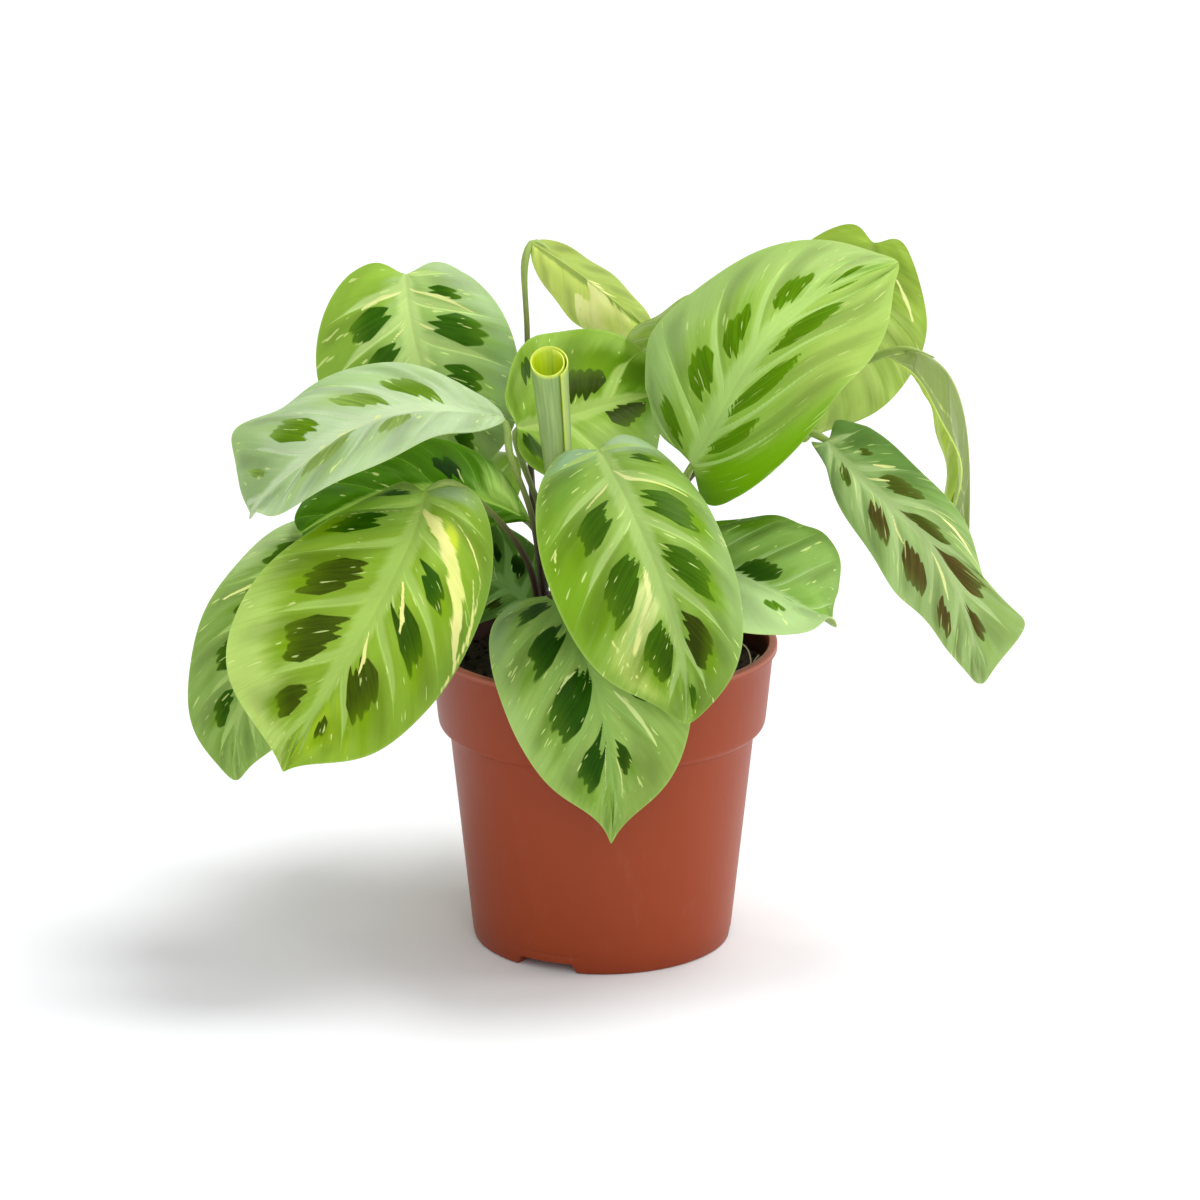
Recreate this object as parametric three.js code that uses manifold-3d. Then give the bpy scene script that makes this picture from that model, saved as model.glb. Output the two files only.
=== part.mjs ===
import * as THREE from 'three';
import Module from 'manifold-3d';

const wasm = await Module();
wasm.setup();

// A prayer plant growing in a plastic nursery pot.
// Millimetres, +Z up, origin at the centre of the pot's underside, -Y towards the viewer.

// Driving dimensions
const GAP = 0.3;
const POT = {
  height: 106,
  lipRadius: 60,
  lipHeight: 2.7,
  collarTopRadius: 58.7,
  collarFootRadius: 56.3,
  collarFoot: 79,
  collarFillet: 3,
  wallTopRadius: 52.5,
  wallTop: 76,
  footRadius: 44.5,
  footFillet: 1.2,
  wall: 1.5,
  floor: 3.6,
  channelHeight: 2,
  channelInner: 14,
  channelOuter: 38.5,
  sides: 48,
};
const DRAIN = { count: 6, radius: 4, ring: 26, sides: 12 };
const NOTCH = { count: 3, angle: -116, halfWidth: 9.7, slant: 2, height: 3.4 };
const SOIL = { level: 94, relief: 1.3, rings: 5, sectors: 36 };
const BLADE = { thickness: 0.8, rows: 11, columns: 6 };
const PETIOLE = { sides: 6, step: 13, tipRadius: 1.15, rootRadius: 1.9, swell: 0.6, underBlade: 7 };
const ROOT = { depth: 13, straight: 5 };

// How a leaf is shaped unless its own line says otherwise
const LEAF = {
  lobe: 0.05, tip: 0.05, blunt: 0.55, fat: [0.05, 0.05], power: [0.9, 0.9],
  cup: [8, 8], curl: [-15, -15], wave: [1, 2.5, 0], push: [],
};

// Leaves that rise from the crown. The midrib runs through four points from base to tip, half is
// the width of the right and left halves, face is the way the upper side looks, cup and curl are
// degrees across each half, and stalk goes from the blade down to the root. A push moves the
// margin near s on one side by x, y, z, and fades over its reach.
const LEAVES = [
  { name: 'leaf_upper_left', rib: [[-68, 58, 220], [-65, 45, 201], [-58, 39, 176], [-50, 39, 147]],
    half: [34, 35], face: [0, -0.7, 0.7], faceTip: [0.05, -0.95, 0.3], lobe: 0.07, curl: [-25, -25],
    stalk: [[-65, 62, 210], [-48, 52, 168], [-30, 23, 122]], root: [-25, 15],
    push: [[0.2, 1, 0.2, -1.5, 0, 0], [0.1, -1, 0.12, 2, 0, 1]] },
  { name: 'leaf_left_pale', rib: [[-33, -12, 187.5], [-64, -22, 192], [-89, -32, 185], [-117, -36, 161]],
    half: [31, 34], face: [0, -0.2, 0.98], cup: [15, 12], blunt: 1, fat: [-0.1, -0.5], lobe: 0,
    power: [1, 0.45], stalk: [[-31, -12, 175], [-24, -11, 154], [-20, -7, 125]], root: [-18, -3],
    push: [[0.24, 1, 0.1, 0, 0, 4], [0.47, 1, 0.12, 0, 0, -4], [0.76, 1, 0.12, -5, 0, 2],
      [0.92, -1, 0.08, 0, 0, 4]] },
  { name: 'leaf_front_left', rib: [[-59, -28, 166], [-69, -58, 145], [-88, -74, 115], [-105, -76, 84]],
    half: [36, 38], face: [-0.1, -0.8, 0.6], faceTip: [-0.2, -0.95, 0.2], lobe: 0.06,
    curl: [-70, -5], fat: [0.05, -0.3],
    stalk: [[-51, -27, 169], [-36, -22, 156], [-25, -17, 138], [-21, -12, 118]], root: [-20, -10] },
  { name: 'leaf_lower_left', rib: [[-88, 17, 140], [-106, -1, 120], [-121, -11, 91], [-125, -15, 60]],
    half: [26, 26], face: [-0.3, -0.8, 0.45], lobe: 0.02,
    stalk: [[-81, 21, 141], [-58, 25, 130], [-35, 14, 112]], root: [-31, 10] },
  { name: 'leaf_mid_left', rib: [[-24, -5, 149], [-52, 2, 158], [-78, 8, 154], [-103, 8, 141]],
    half: [29, 26], face: [-0.1, -0.4, 0.9], blunt: 1, lobe: 0, fat: [-0.1, -0.25],
    power: [2.4, 0.6], stalk: [[-21, -2, 140], [-20, 3, 120]], root: [-22, 5] },
  { name: 'leaf_front_center', rib: [[-1, -18, 178], [14, -62, 159], [25, -76, 129], [27, -74, 100]],
    half: [31, 35], face: [-0.1, -0.7, 0.7], faceTip: [0, -0.95, 0.3], lobe: 0.06,
    curl: [-75, -10], fat: [0.05, -0.05],
    stalk: [[-3, -13, 170], [-5, -6, 140], [-6, -3, 116]], root: [-6, -3] },
  { name: 'leaf_pot_front', rib: [[-18, -22, 128], [-6, -60, 119], [2, -67, 90], [3, -68, 56]],
    half: [34, 31], face: [0, -0.8, 0.6], faceTip: [0, -0.98, 0.15], fat: [0.25, 0.05], tip: 0.07,
    blunt: 0.4, stalk: [[-17, -19, 123], [-14, -15, 110]], root: [-13, -13] },
  { name: 'leaf_crown_low', rib: [[-26, 0, 119], [-39, 8, 126], [-56, 14, 128], [-71, 18, 128]],
    half: [22, 20], face: [-0.1, -0.7, 0.7],
    stalk: [[-28, -3, 112]], root: [-29, -4] },
  { name: 'leaf_top_folded', rib: [[-24, 62, 230], [-9, 58, 221], [6, 58, 209], [20, 62, 195]],
    half: [12, 17], face: [-0.2, -0.95, -0.2], cup: [-75, 0], curl: [-20, -15], lobe: 0,
    fat: [0, -0.2], stalk: [[-26.5, 61, 225], [-26, 57, 200], [-24, 38, 145], [-20, 25, 118]],
    root: [-19, 20] },
  { name: 'leaf_back_center', rib: [[-29, 14, 177], [-11, 22, 179], [6, 30, 182], [24, 34, 183]],
    half: [33, 33], face: [0.1, -0.7, 0.7],
    stalk: [[-28, 16, 167], [-16, 18, 130]], root: [-15, 11] },
  { name: 'leaf_back_left', rib: [[-40, 38, 142], [-56, 62, 148], [-68, 83, 132], [-74, 95, 104]],
    half: [27, 27], face: [-0.4, 0.4, 0.85],
    stalk: [[-38, 34, 134], [-30, 25, 113]], root: [-26, 22] },
  { name: 'leaf_back_low', rib: [[4, 34, 134], [6, 64, 143], [10, 88, 130], [13, 102, 102]],
    half: [25, 25], face: [0.1, 0.45, 0.85],
    stalk: [[0, 27, 126], [-8, 22, 110]], root: [-10, 20] },
  { name: 'leaf_back_tall', rib: [[-4, 48, 176], [-8, 76, 182], [-14, 98, 166], [-18, 110, 140]],
    half: [22, 22], face: [-0.1, 0.45, 0.85],
    stalk: [[-4, 42, 164], [-4, 18, 125]], root: [-4, 13] },
  { name: 'leaf_back_right_low', rib: [[20, 30, 128], [34, 54, 130], [46, 74, 113], [53, 84, 88]],
    half: [20, 20], face: [0.4, 0.35, 0.85],
    stalk: [[15, 25, 120], [4, 20, 106]], root: [1, 18] },
];

// The leafy stem that leans to the right, and the leaves that branch from it
const SHOOT = {
  name: 'shoot_right', root: [4, 7], radius: 2.2,
  stem: [[66, 26, 196], [56, 21, 185], [35, 13, 166], [17, 8, 144], [8, 7, 122]],
};
const SHOOT_LEAVES = [
  { name: 'leaf_right_low', rib: [[26, -14, 145], [42, -30, 140], [60, -38, 133], [77, -36, 122]],
    half: [30, 38], face: [0.1, -0.45, 0.85], faceTip: [0, -0.25, 0.95], cup: [20, 15],
    power: [0.9, 0.65], blunt: 1, fat: [-0.3, 0.4],
    stalk: [[20, -9, 140], [12, 0, 128], [7.5, 7, 116]],
    push: [[0.78, -1, 0.18, 6, 0, 2], [0.84, 1, 0.12, -1, 0, 5]] },
  { name: 'leaf_top_right', rib: [[30, -10, 171], [45, -20, 202], [63, -16, 225], [99, 0, 238]],
    half: [36, 37], face: [-0.3, -0.75, 0.6], curl: [-35, -15], fat: [0.4, 0.05], power: [0.7, 0.9],
    stalk: [[26, -4, 160], [17, 8, 144]],
    push: [[0.25, 1, 0.2, 0, 0, 5], [0.16, -1, 0.16, -6, 0, -1]] },
  { name: 'leaf_back_right', rib: [[93, 42, 235], [86, 34, 215], [79, 28, 193], [69, 28, 168]],
    half: [26, 27], face: [0.1, -0.8, 0.5], lobe: 0.07, curl: [-30, -20],
    stalk: [[90, 46, 226], [76, 40, 208], [60, 23, 189]],
    push: [[0.3, -1, 0.15, 2, 0, 0], [0.08, 1, 0.1, -4, 0, -1.5], [0.75, -1, 0.2, -3, 0, 3]] },
  { name: 'leaf_right_folded', rib: [[103, 15, 203], [118, 8, 195], [124, 5, 171], [125, 8, 134]],
    half: [22, 18], face: [-0.57, -0.25, -0.85], faceTip: [-0.95, 0, 0.1], cup: [25, 25],
    power: [0.6, 0.9],
    stalk: [[98, 17, 203], [87, 20, 198], [66, 26, 195]],
    push: [[0.2, -1, 0.15, -3, 0, -3], [0.2, 1, 0.15, -3, 0, -3], [0.72, 1, 0.15, -3, 0, 0],
      [0.72, -1, 0.15, -3, 0, 0]] },
  { name: 'leaf_right_hanging',
    rib: [[76, -5, 177.5], [97, -20, 159.5], [115.5, -27, 140], [128, -22, 97]], half: [15, 15],
    face: [-0.3, -0.8, 0.5], curl: [-30, -30], fat: [-0.1, 0], power: [0.6, 0.7],
    stalk: [[65, 3, 180], [52, 12, 177], [43, 16, 173]],
    push: [[0.12, -1, 0.12, 3, 0, 3], [0.5, -1, 0.1, -4.5, 0, -3.5], [0.7, -1, 0.1, 6, 0, 4],
      [0.04, 1, 0.1, 6, 0, 2], [0.42, 1, 0.15, -4, 0, -3]] },
  { name: 'leaf_back_top', rib: [[57, 30, 221], [40, 39, 212], [24, 48, 201], [8, 58, 190]],
    half: [17, 17], face: [-0.1, 0.6, 0.8],
    stalk: [[63, 30, 214], [65, 28, 204], [66, 26, 195]] },
];

// The young leaf that is still rolled into a tube
const ROLL = {
  name: 'leaf_rolled', foot: [-14, -11, 157], mouth: [-18, -9, 206], footRadius: 4.4, mouthRadius: 6.6,
  turns: 1.35, start: -0.9, inset: 1.6, lean: 0.62, rows: 8, columns: 20,
  stalk: [[-14, -11, 163], [-12, -9, 138], [-11, -4, 118]], root: [-12, -3],
};

const COLOURS = {
  terracotta: 0x9a4a33,
  soil: 0x1d1614,
  leaf: 0x6f9e45,
  paleLeaf: 0xb4cf9a,
  youngLeaf: 0xb8c254,
};

// Solids and meshes

function solidOf(vertices, triangles) {
  const mesh = new wasm.Mesh({
    numProp: 3,
    vertProperties: new Float32Array(vertices.flat()),
    triVerts: new Uint32Array(triangles.flat()),
  });
  return new wasm.Manifold(mesh);
}

// Merges the shared vertices of a closed geometry and drops its collapsed triangles.
function solidFromGeometry(geometry) {
  const position = geometry.attributes.position;
  const index = geometry.index ? Array.from(geometry.index.array) : [...Array(position.count).keys()];
  const vertices = [];
  const known = new Map();
  const corner = index.map((k) => {
    const p = [position.getX(k), position.getY(k), position.getZ(k)];
    const key = p.map((v) => Math.round(v * 1000)).join(',');
    if (!known.has(key)) {
      known.set(key, vertices.length);
      vertices.push(p);
    }
    return known.get(key);
  });
  const triangles = [];
  for (let k = 0; k < corner.length; k += 3) {
    const [a, b, c] = corner.slice(k, k + 3);
    if (a !== b && b !== c && c !== a) triangles.push([a, b, c]);
  }
  return solidOf(vertices, triangles);
}

function geometryOf(solid) {
  const mesh = solid.getMesh();
  const geometry = new THREE.BufferGeometry();
  const count = mesh.vertProperties.length / mesh.numProp;
  const position = new Float32Array(count * 3);
  for (let k = 0; k < count; k += 1) {
    position.set(mesh.vertProperties.subarray(k * mesh.numProp, k * mesh.numProp + 3), k * 3);
  }
  geometry.setAttribute('position', new THREE.BufferAttribute(position, 3));
  geometry.setIndex(new THREE.BufferAttribute(new Uint32Array(mesh.triVerts), 1));
  return geometry;
}

// A solid of revolution about Z whose profile of [radius, height] starts and ends on the axis.
function turned(profile, sides) {
  const points = profile.map(([r, z]) => new THREE.Vector2(r, z));
  return solidFromGeometry(new THREE.LatheGeometry(points, sides).rotateX(Math.PI / 2));
}

// A sheet of the given thickness on a grid of points; a row may shrink to a single point.
function sheet(grid, thickness) {
  const rows = grid.length;
  const columns = grid[0].length;
  const single = grid.map((row) => row[0].distanceTo(row[columns - 1]) < 1e-6
    && row[0].distanceTo(row[columns >> 1]) < 1e-6);
  const vertices = [];
  const ids = [[], []];
  for (let i = 0; i < rows; i += 1) {
    for (const side of [0, 1]) ids[side].push([]);
    for (let j = 0; j < columns; j += 1) {
      if (single[i] && j > 0) {
        for (const side of [0, 1]) ids[side][i].push(ids[side][i][0]);
      } else {
        const normal = gridNormal(grid, i, single[i] ? columns >> 1 : j);
        [0.5, -0.5].forEach((offset, side) => {
          ids[side][i].push(vertices.length);
          vertices.push(grid[i][j].clone().addScaledVector(normal, offset * thickness).toArray());
        });
      }
    }
  }
  const triangles = [];
  const add = (a, b, c) => {
    if (a !== b && b !== c && c !== a) triangles.push([a, b, c]);
  };
  for (let i = 0; i + 1 < rows; i += 1) {
    for (let j = 0; j + 1 < columns; j += 1) {
      const corners = (side) => [ids[side][i][j], ids[side][i + 1][j],
        ids[side][i + 1][j + 1], ids[side][i][j + 1]];
      const [a, b, c, d] = corners(0);
      const [e, f, g, h] = corners(1);
      add(a, b, c);
      add(a, c, d);
      add(e, g, f);
      add(e, h, g);
    }
  }
  const edge = [];
  for (let i = 0; i < rows; i += 1) edge.push([i, 0]);
  for (let j = 1; j < columns; j += 1) edge.push([rows - 1, j]);
  for (let i = rows - 2; i >= 0; i -= 1) edge.push([i, columns - 1]);
  for (let j = columns - 2; j > 0; j -= 1) edge.push([0, j]);
  edge.forEach(([i, j], k) => {
    const [m, n] = edge[(k + 1) % edge.length];
    if (ids[0][i][j] !== ids[0][m][n]) {
      add(ids[0][i][j], ids[1][i][j], ids[1][m][n]);
      add(ids[0][i][j], ids[1][m][n], ids[0][m][n]);
    }
  });
  return outward(vertices, triangles);
}

function outward(vertices, triangles) {
  const solid = solidOf(vertices, triangles);
  if (solid.volume() > 0) return solid;
  return solidOf(vertices, triangles.map(([a, b, c]) => [a, c, b]));
}

function gridNormal(grid, i, j) {
  const row = grid[Math.min(Math.max(i, 1), grid.length - 2)];
  const up = grid[Math.max(i - 1, 0)][j];
  const down = grid[Math.min(i + 1, grid.length - 1)][j];
  const left = row[Math.max(j - 1, 0)];
  const right = row[Math.min(j + 1, row.length - 1)];
  return down.clone().sub(up).cross(right.clone().sub(left)).normalize();
}

// A closed tube along a curve, with radius(u) from its start to its end.
function tube(curve, radius, steps, sides) {
  const frames = curve.computeFrenetFrames(steps, false);
  const vertices = [];
  for (let k = 0; k <= steps; k += 1) {
    const centre = curve.getPointAt(k / steps);
    for (let n = 0; n < sides; n += 1) {
      const turn = 2 * Math.PI * n / sides;
      const r = radius(k / steps);
      vertices.push(centre.clone()
        .addScaledVector(frames.normals[k], r * Math.cos(turn))
        .addScaledVector(frames.binormals[k], r * Math.sin(turn)).toArray());
    }
  }
  const triangles = [];
  for (let k = 0; k < steps; k += 1) {
    for (let n = 0; n < sides; n += 1) {
      const a = k * sides + n;
      const b = k * sides + (n + 1) % sides;
      triangles.push([a, b, b + sides], [a, b + sides, a + sides]);
    }
  }
  for (let n = 1; n + 1 < sides; n += 1) {
    const last = steps * sides;
    triangles.push([0, n + 1, n], [last, last + n, last + n + 1]);
  }
  return outward(vertices, triangles);
}

function vector([x, y, z]) {
  return new THREE.Vector3(x, y, z);
}

function smooth(points) {
  return new THREE.CatmullRomCurve3(points, false, 'centripetal');
}

// Leaves

// The smooth curve through the midrib's four points
function midrib(points) {
  const [a, b, c, d] = points.map(vector);
  const mix = (...weights) => [a, b, c, d].reduce(
    (sum, p, k) => sum.addScaledVector(p, weights[k] / 6), new THREE.Vector3());
  const curve = new THREE.CubicBezierCurve3(a, mix(-5, 18, -9, 2), mix(2, -9, 18, -5), d);
  curve.arcLengthDivisions = 96;
  return curve;
}

// The middle of the blade at s, from base to tip along the veins, and t, across from -1 to 1
function bladePoint(leaf, curve, s, t) {
  const shape = { ...LEAF, ...leaf };
  const side = t < 0 ? 0 : 1;
  const half = shape.half[side];
  const length = curve.getLength();
  const phi = Math.PI * Math.min(Math.max(s ** 0.7, 1e-9), 1 - 1e-9);
  const toTip = Math.PI - phi;
  const narrow = 1 - (1 - shape.blunt) * Math.exp(-((toTip / 0.42) ** 2));
  const power = THREE.MathUtils.lerp(shape.power[0], shape.power[1], s);
  const marginX = half * Math.sin(phi) ** power * (1 + shape.fat[side] * Math.cos(phi)) * narrow;
  const point = shape.tip * length;
  const early = phi / 0.3;
  const marginY = (length - point) * (1 - Math.cos(phi)) / 2 + point * Math.exp(-((toTip / 0.3) ** 2))
    - shape.lobe * length * (early * Math.exp(1 - early)) ** 2;

  // Each vein leaves the midrib and bends forward to the margin
  const ribY = length * s ** 1.2;
  const a = Math.abs(t);
  const bendX = 0.55 * marginX;
  const bendY = ribY + 0.25 * (marginY - ribY);
  const x = 2 * a * (1 - a) * bendX + a * a * marginX;
  const y = (1 - a) ** 2 * ribY + 2 * a * (1 - a) * bendY + a * a * marginY;

  const along = Math.min(Math.max(y / length, 0), 1);
  const beyond = Math.min(y, 0) + Math.max(y - length, 0);
  const tangent = curve.getTangentAt(along);
  const centre = curve.getPointAt(along).addScaledVector(tangent, beyond);
  const face = vector(shape.face).normalize()
    .lerp(vector(shape.faceTip ?? shape.face).normalize(), along).normalize();
  const across = tangent.clone().cross(face).normalize();
  const up = across.clone().cross(tangent);

  const cup = THREE.MathUtils.degToRad(shape.cup[side]);
  const curl = THREE.MathUtils.degToRad(shape.curl[side]);
  const out = x / half;
  const [height, count, phase] = shape.wave;
  const u = half * (Math.sin(cup + curl * out) - Math.sin(cup)) / curl;
  const v = half * (Math.cos(cup) - Math.cos(cup + curl * out)) / curl
    + height * out * out * Math.sin(2 * Math.PI * (count * y / length + phase + (t < 0 ? 0.4 : 0)));
  const moved = centre.addScaledVector(across, u * Math.sign(t)).addScaledVector(up, v);
  for (const [at, edge, reach, dx, dy, dz] of shape.push) {
    if (t * edge > 0) {
      const near = Math.exp(-(((s - at) / reach) ** 2)) * Math.min(1, 12 * s * (1 - s));
      moved.addScaledVector(new THREE.Vector3(dx, dy, dz), t * t * near);
    }
  }
  return moved;
}

function blade(leaf) {
  const curve = midrib(leaf.rib);
  const grid = [];
  for (let i = 0; i <= BLADE.rows; i += 1) {
    const row = [];
    for (let j = 0; j <= BLADE.columns; j += 1) {
      row.push(bladePoint(leaf, curve, i / BLADE.rows, 2 * j / BLADE.columns - 1));
    }
    grid.push(row);
  }
  return sheet(grid, BLADE.thickness);
}

// The points of a petiole, from under the blade to its end in the soil or on the stem
function petioleCurve(leaf) {
  const points = leaf.stalk.map(vector);
  if (leaf.rib) {
    const curve = midrib(leaf.rib);
    const base = curve.getPointAt(0);
    const inner = curve.getPointAt(PETIOLE.underBlade / curve.getLength());
    const down = vector(leaf.face).normalize().multiplyScalar(-0.8);
    points.unshift(inner.add(down), base.add(down));
  }
  if (leaf.root) {
    const [x, y] = leaf.root;
    points.push(vector([x, y, SOIL.level + ROOT.straight]), vector([x, y, SOIL.level - ROOT.depth]));
  }
  return smooth(points);
}

function petiole(leaf, width = 1) {
  const curve = petioleCurve(leaf);
  const knee = 12 / curve.getLength();
  const radius = (u) => width * (THREE.MathUtils.lerp(PETIOLE.tipRadius, PETIOLE.rootRadius, u * u)
    + PETIOLE.swell * Math.exp(-(((u - knee) / (0.6 * knee)) ** 2)));
  const steps = Math.max(5, Math.round(curve.getLength() / PETIOLE.step));
  return tube(curve, radius, steps, PETIOLE.sides);
}

function crownLeaf(leaf) {
  return blade(leaf).add(petiole(leaf));
}

function rightShoot() {
  const points = SHOOT.stem.map(vector);
  const [x, y] = SHOOT.root;
  points.push(vector([x, y, SOIL.level + ROOT.straight]), vector([x, y, SOIL.level - ROOT.depth]));
  const curve = smooth(points);
  const stem = tube(curve, (u) => THREE.MathUtils.lerp(1.6, SHOOT.radius, u), 16, PETIOLE.sides);
  return SHOOT_LEAVES.reduce((sum, leaf) => sum.add(blade(leaf)).add(petiole(leaf)), stem);
}

// A sheet wound into a tube with a slanting mouth, on its own stalk
function rolledLeaf() {
  const foot = vector(ROLL.foot);
  const axis = vector(ROLL.mouth).sub(foot);
  const grid = [];
  for (let i = 0; i <= ROLL.rows; i += 1) {
    const h = i / ROLL.rows;
    const row = [];
    for (let j = 0; j <= ROLL.columns; j += 1) {
      const wound = j / ROLL.columns;
      const turn = ROLL.start + 2 * Math.PI * ROLL.turns * wound;
      const radius = THREE.MathUtils.lerp(ROLL.footRadius, ROLL.mouthRadius, h) - ROLL.inset * wound;
      const slant = ROLL.lean * radius * Math.sin(turn) * h * h;
      row.push(foot.clone().addScaledVector(axis, h)
        .add(new THREE.Vector3(radius * Math.cos(turn), radius * Math.sin(turn), slant)));
    }
    grid.push(row);
  }
  return sheet(grid, BLADE.thickness).add(petiole(ROLL, 1.5));
}

// Pot and soil

function innerRadius(z) {
  if (z >= POT.collarFoot) {
    const rise = (z - POT.collarFoot) / (POT.height - POT.collarFoot);
    return THREE.MathUtils.lerp(POT.collarFootRadius, POT.collarTopRadius, rise) - POT.wall;
  }
  return THREE.MathUtils.lerp(POT.footRadius, POT.wallTopRadius, z / POT.wallTop) - POT.wall;
}

function notchCutter() {
  const outline = new THREE.Shape([
    new THREE.Vector2(-NOTCH.halfWidth - NOTCH.slant, -1),
    new THREE.Vector2(NOTCH.halfWidth + NOTCH.slant, -1),
    new THREE.Vector2(NOTCH.halfWidth, NOTCH.height),
    new THREE.Vector2(-NOTCH.halfWidth, NOTCH.height),
  ]);
  const depth = POT.footRadius + 1 - POT.channelOuter + 2;
  const block = new THREE.ExtrudeGeometry(outline, { depth, bevelEnabled: false });
  return block.rotateX(Math.PI / 2).rotateZ(Math.PI / 2).translate(POT.channelOuter - 2, 0, 0);
}

function pot() {
  const fillet = POT.collarFillet;
  const profile = [
    [0, 0], [POT.channelInner, 0], [POT.channelInner + 1, POT.channelHeight],
    [POT.channelOuter, POT.channelHeight], [POT.channelOuter + 1, 0],
    [POT.footRadius - POT.footFillet, 0], [POT.footRadius, POT.footFillet],
    [POT.wallTopRadius, POT.wallTop], [POT.collarFootRadius - fillet, POT.wallTop],
    [POT.collarFootRadius - fillet * 0.3, POT.collarFoot - fillet * 0.7],
    [POT.collarFootRadius, POT.collarFoot],
    [POT.collarTopRadius, POT.height - POT.lipHeight], [POT.lipRadius, POT.height - POT.lipHeight],
    [POT.lipRadius, POT.height - 0.4], [POT.lipRadius - 0.4, POT.height],
    [innerRadius(POT.height), POT.height], [innerRadius(POT.collarFoot), POT.collarFoot],
    [innerRadius(POT.wallTop), POT.wallTop - 1], [innerRadius(POT.floor), POT.floor], [0, POT.floor],
  ];
  let solid = turned(profile, POT.sides);
  const plug = (radius, sides) => new THREE.CylinderGeometry(radius, radius, 20, sides)
    .rotateX(Math.PI / 2);
  for (let k = 0; k < DRAIN.count; k += 1) {
    const turn = 2 * Math.PI * k / DRAIN.count;
    const hole = plug(DRAIN.radius, DRAIN.sides)
      .translate(DRAIN.ring * Math.cos(turn), DRAIN.ring * Math.sin(turn), 0);
    solid = solid.subtract(solidFromGeometry(hole));
  }
  for (let k = 0; k < NOTCH.count; k += 1) {
    const turn = THREE.MathUtils.degToRad(NOTCH.angle) + 2 * Math.PI * k / NOTCH.count;
    solid = solid.subtract(solidFromGeometry(notchCutter().rotateZ(turn)));
  }
  return solid;
}

function soilHeight(x, y) {
  return SOIL.level + SOIL.relief * (0.6 * Math.sin(x / 9 + 1) * Math.cos(y / 11)
    + 0.4 * Math.sin((x + y) / 5));
}

function soil(stalks) {
  const bottom = POT.floor + GAP;
  const levels = [bottom, POT.wallTop - 1.5, POT.collarFoot + 1];
  const sectors = SOIL.sectors;
  const vertices = [[0, 0, bottom]];
  const ring = (radius, height) => {
    for (let n = 0; n < sectors; n += 1) {
      const turn = 2 * Math.PI * n / sectors;
      const x = radius * Math.cos(turn);
      const y = radius * Math.sin(turn);
      vertices.push([x, y, height ?? soilHeight(x, y)]);
    }
  };
  const clear = 3 * GAP;
  for (const z of levels) ring(innerRadius(z) - clear, z);
  for (let k = 0; k < SOIL.rings; k += 1) {
    ring((innerRadius(SOIL.level) - clear) * (1 - k / SOIL.rings));
  }
  vertices.push([0, 0, soilHeight(0, 0)]);
  const rings = levels.length + SOIL.rings;
  const triangles = [];
  for (let n = 0; n < sectors; n += 1) {
    const next = (n + 1) % sectors;
    triangles.push([0, 1 + next, 1 + n]);
    for (let k = 0; k + 1 < rings; k += 1) {
      const a = 1 + k * sectors;
      const b = a + sectors;
      triangles.push([a + n, a + next, b + next], [a + n, b + next, b + n]);
    }
    const top = 1 + (rings - 1) * sectors;
    triangles.push([top + n, top + next, vertices.length - 1]);
  }
  let solid = outward(vertices, triangles);
  for (const { root, radius } of stalks) {
    const floor = SOIL.level - ROOT.depth - GAP;
    const height = ROOT.depth + ROOT.straight;
    const hole = new THREE.CylinderGeometry(radius + GAP, radius + GAP, height, 8)
      .rotateX(Math.PI / 2).translate(root[0], root[1], floor + height / 2);
    solid = solid.subtract(solidFromGeometry(hole));
  }
  return solid;
}

// The whole plant

const plant = new THREE.Group();

function place(name, solid, color, roughness) {
  const material = new THREE.MeshStandardMaterial({ color, roughness, metalness: 0 });
  const mesh = new THREE.Mesh(geometryOf(solid), material);
  mesh.name = name;
  plant.add(mesh);
}

const holeRadius = 1.08 * PETIOLE.rootRadius;
const stalks = [
  ...LEAVES.map(({ root }) => ({ root, radius: holeRadius })),
  { root: SHOOT.root, radius: 1.08 * SHOOT.radius },
  { root: ROLL.root, radius: 1.5 * holeRadius },
];

place('pot', pot(), COLOURS.terracotta, 0.5);
place('soil', soil(stalks), COLOURS.soil, 0.95);
for (const leaf of LEAVES) {
  const green = leaf.name === 'leaf_left_pale' ? COLOURS.paleLeaf : COLOURS.leaf;
  place(leaf.name, crownLeaf(leaf), green, 0.5);
}
place(SHOOT.name, rightShoot(), COLOURS.leaf, 0.5);
place(ROLL.name, rolledLeaf(), COLOURS.youngLeaf, 0.5);

export default plant;
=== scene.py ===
"""Detailed visual model of the potted prayer plant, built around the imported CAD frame."""
import math

import bmesh
import bpy
import numpy as np
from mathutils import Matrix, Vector, noise


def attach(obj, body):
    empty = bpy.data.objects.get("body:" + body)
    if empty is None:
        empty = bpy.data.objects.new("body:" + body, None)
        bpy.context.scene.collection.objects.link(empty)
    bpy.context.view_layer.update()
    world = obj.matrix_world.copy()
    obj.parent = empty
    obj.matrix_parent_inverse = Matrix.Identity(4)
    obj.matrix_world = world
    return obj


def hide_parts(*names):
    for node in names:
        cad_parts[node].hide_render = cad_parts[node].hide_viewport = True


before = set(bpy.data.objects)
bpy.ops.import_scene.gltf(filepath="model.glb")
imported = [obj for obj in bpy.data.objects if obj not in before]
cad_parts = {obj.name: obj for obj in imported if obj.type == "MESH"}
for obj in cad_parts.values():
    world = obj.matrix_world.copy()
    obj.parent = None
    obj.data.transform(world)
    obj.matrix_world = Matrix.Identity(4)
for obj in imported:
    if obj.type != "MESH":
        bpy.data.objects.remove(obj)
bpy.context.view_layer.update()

MM = 0.001

# Sizes and places in millimetres, the same as the part's source but for two finer leaf tips.
# Pieces of the pot's outline are radius, height and fillet.

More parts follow.
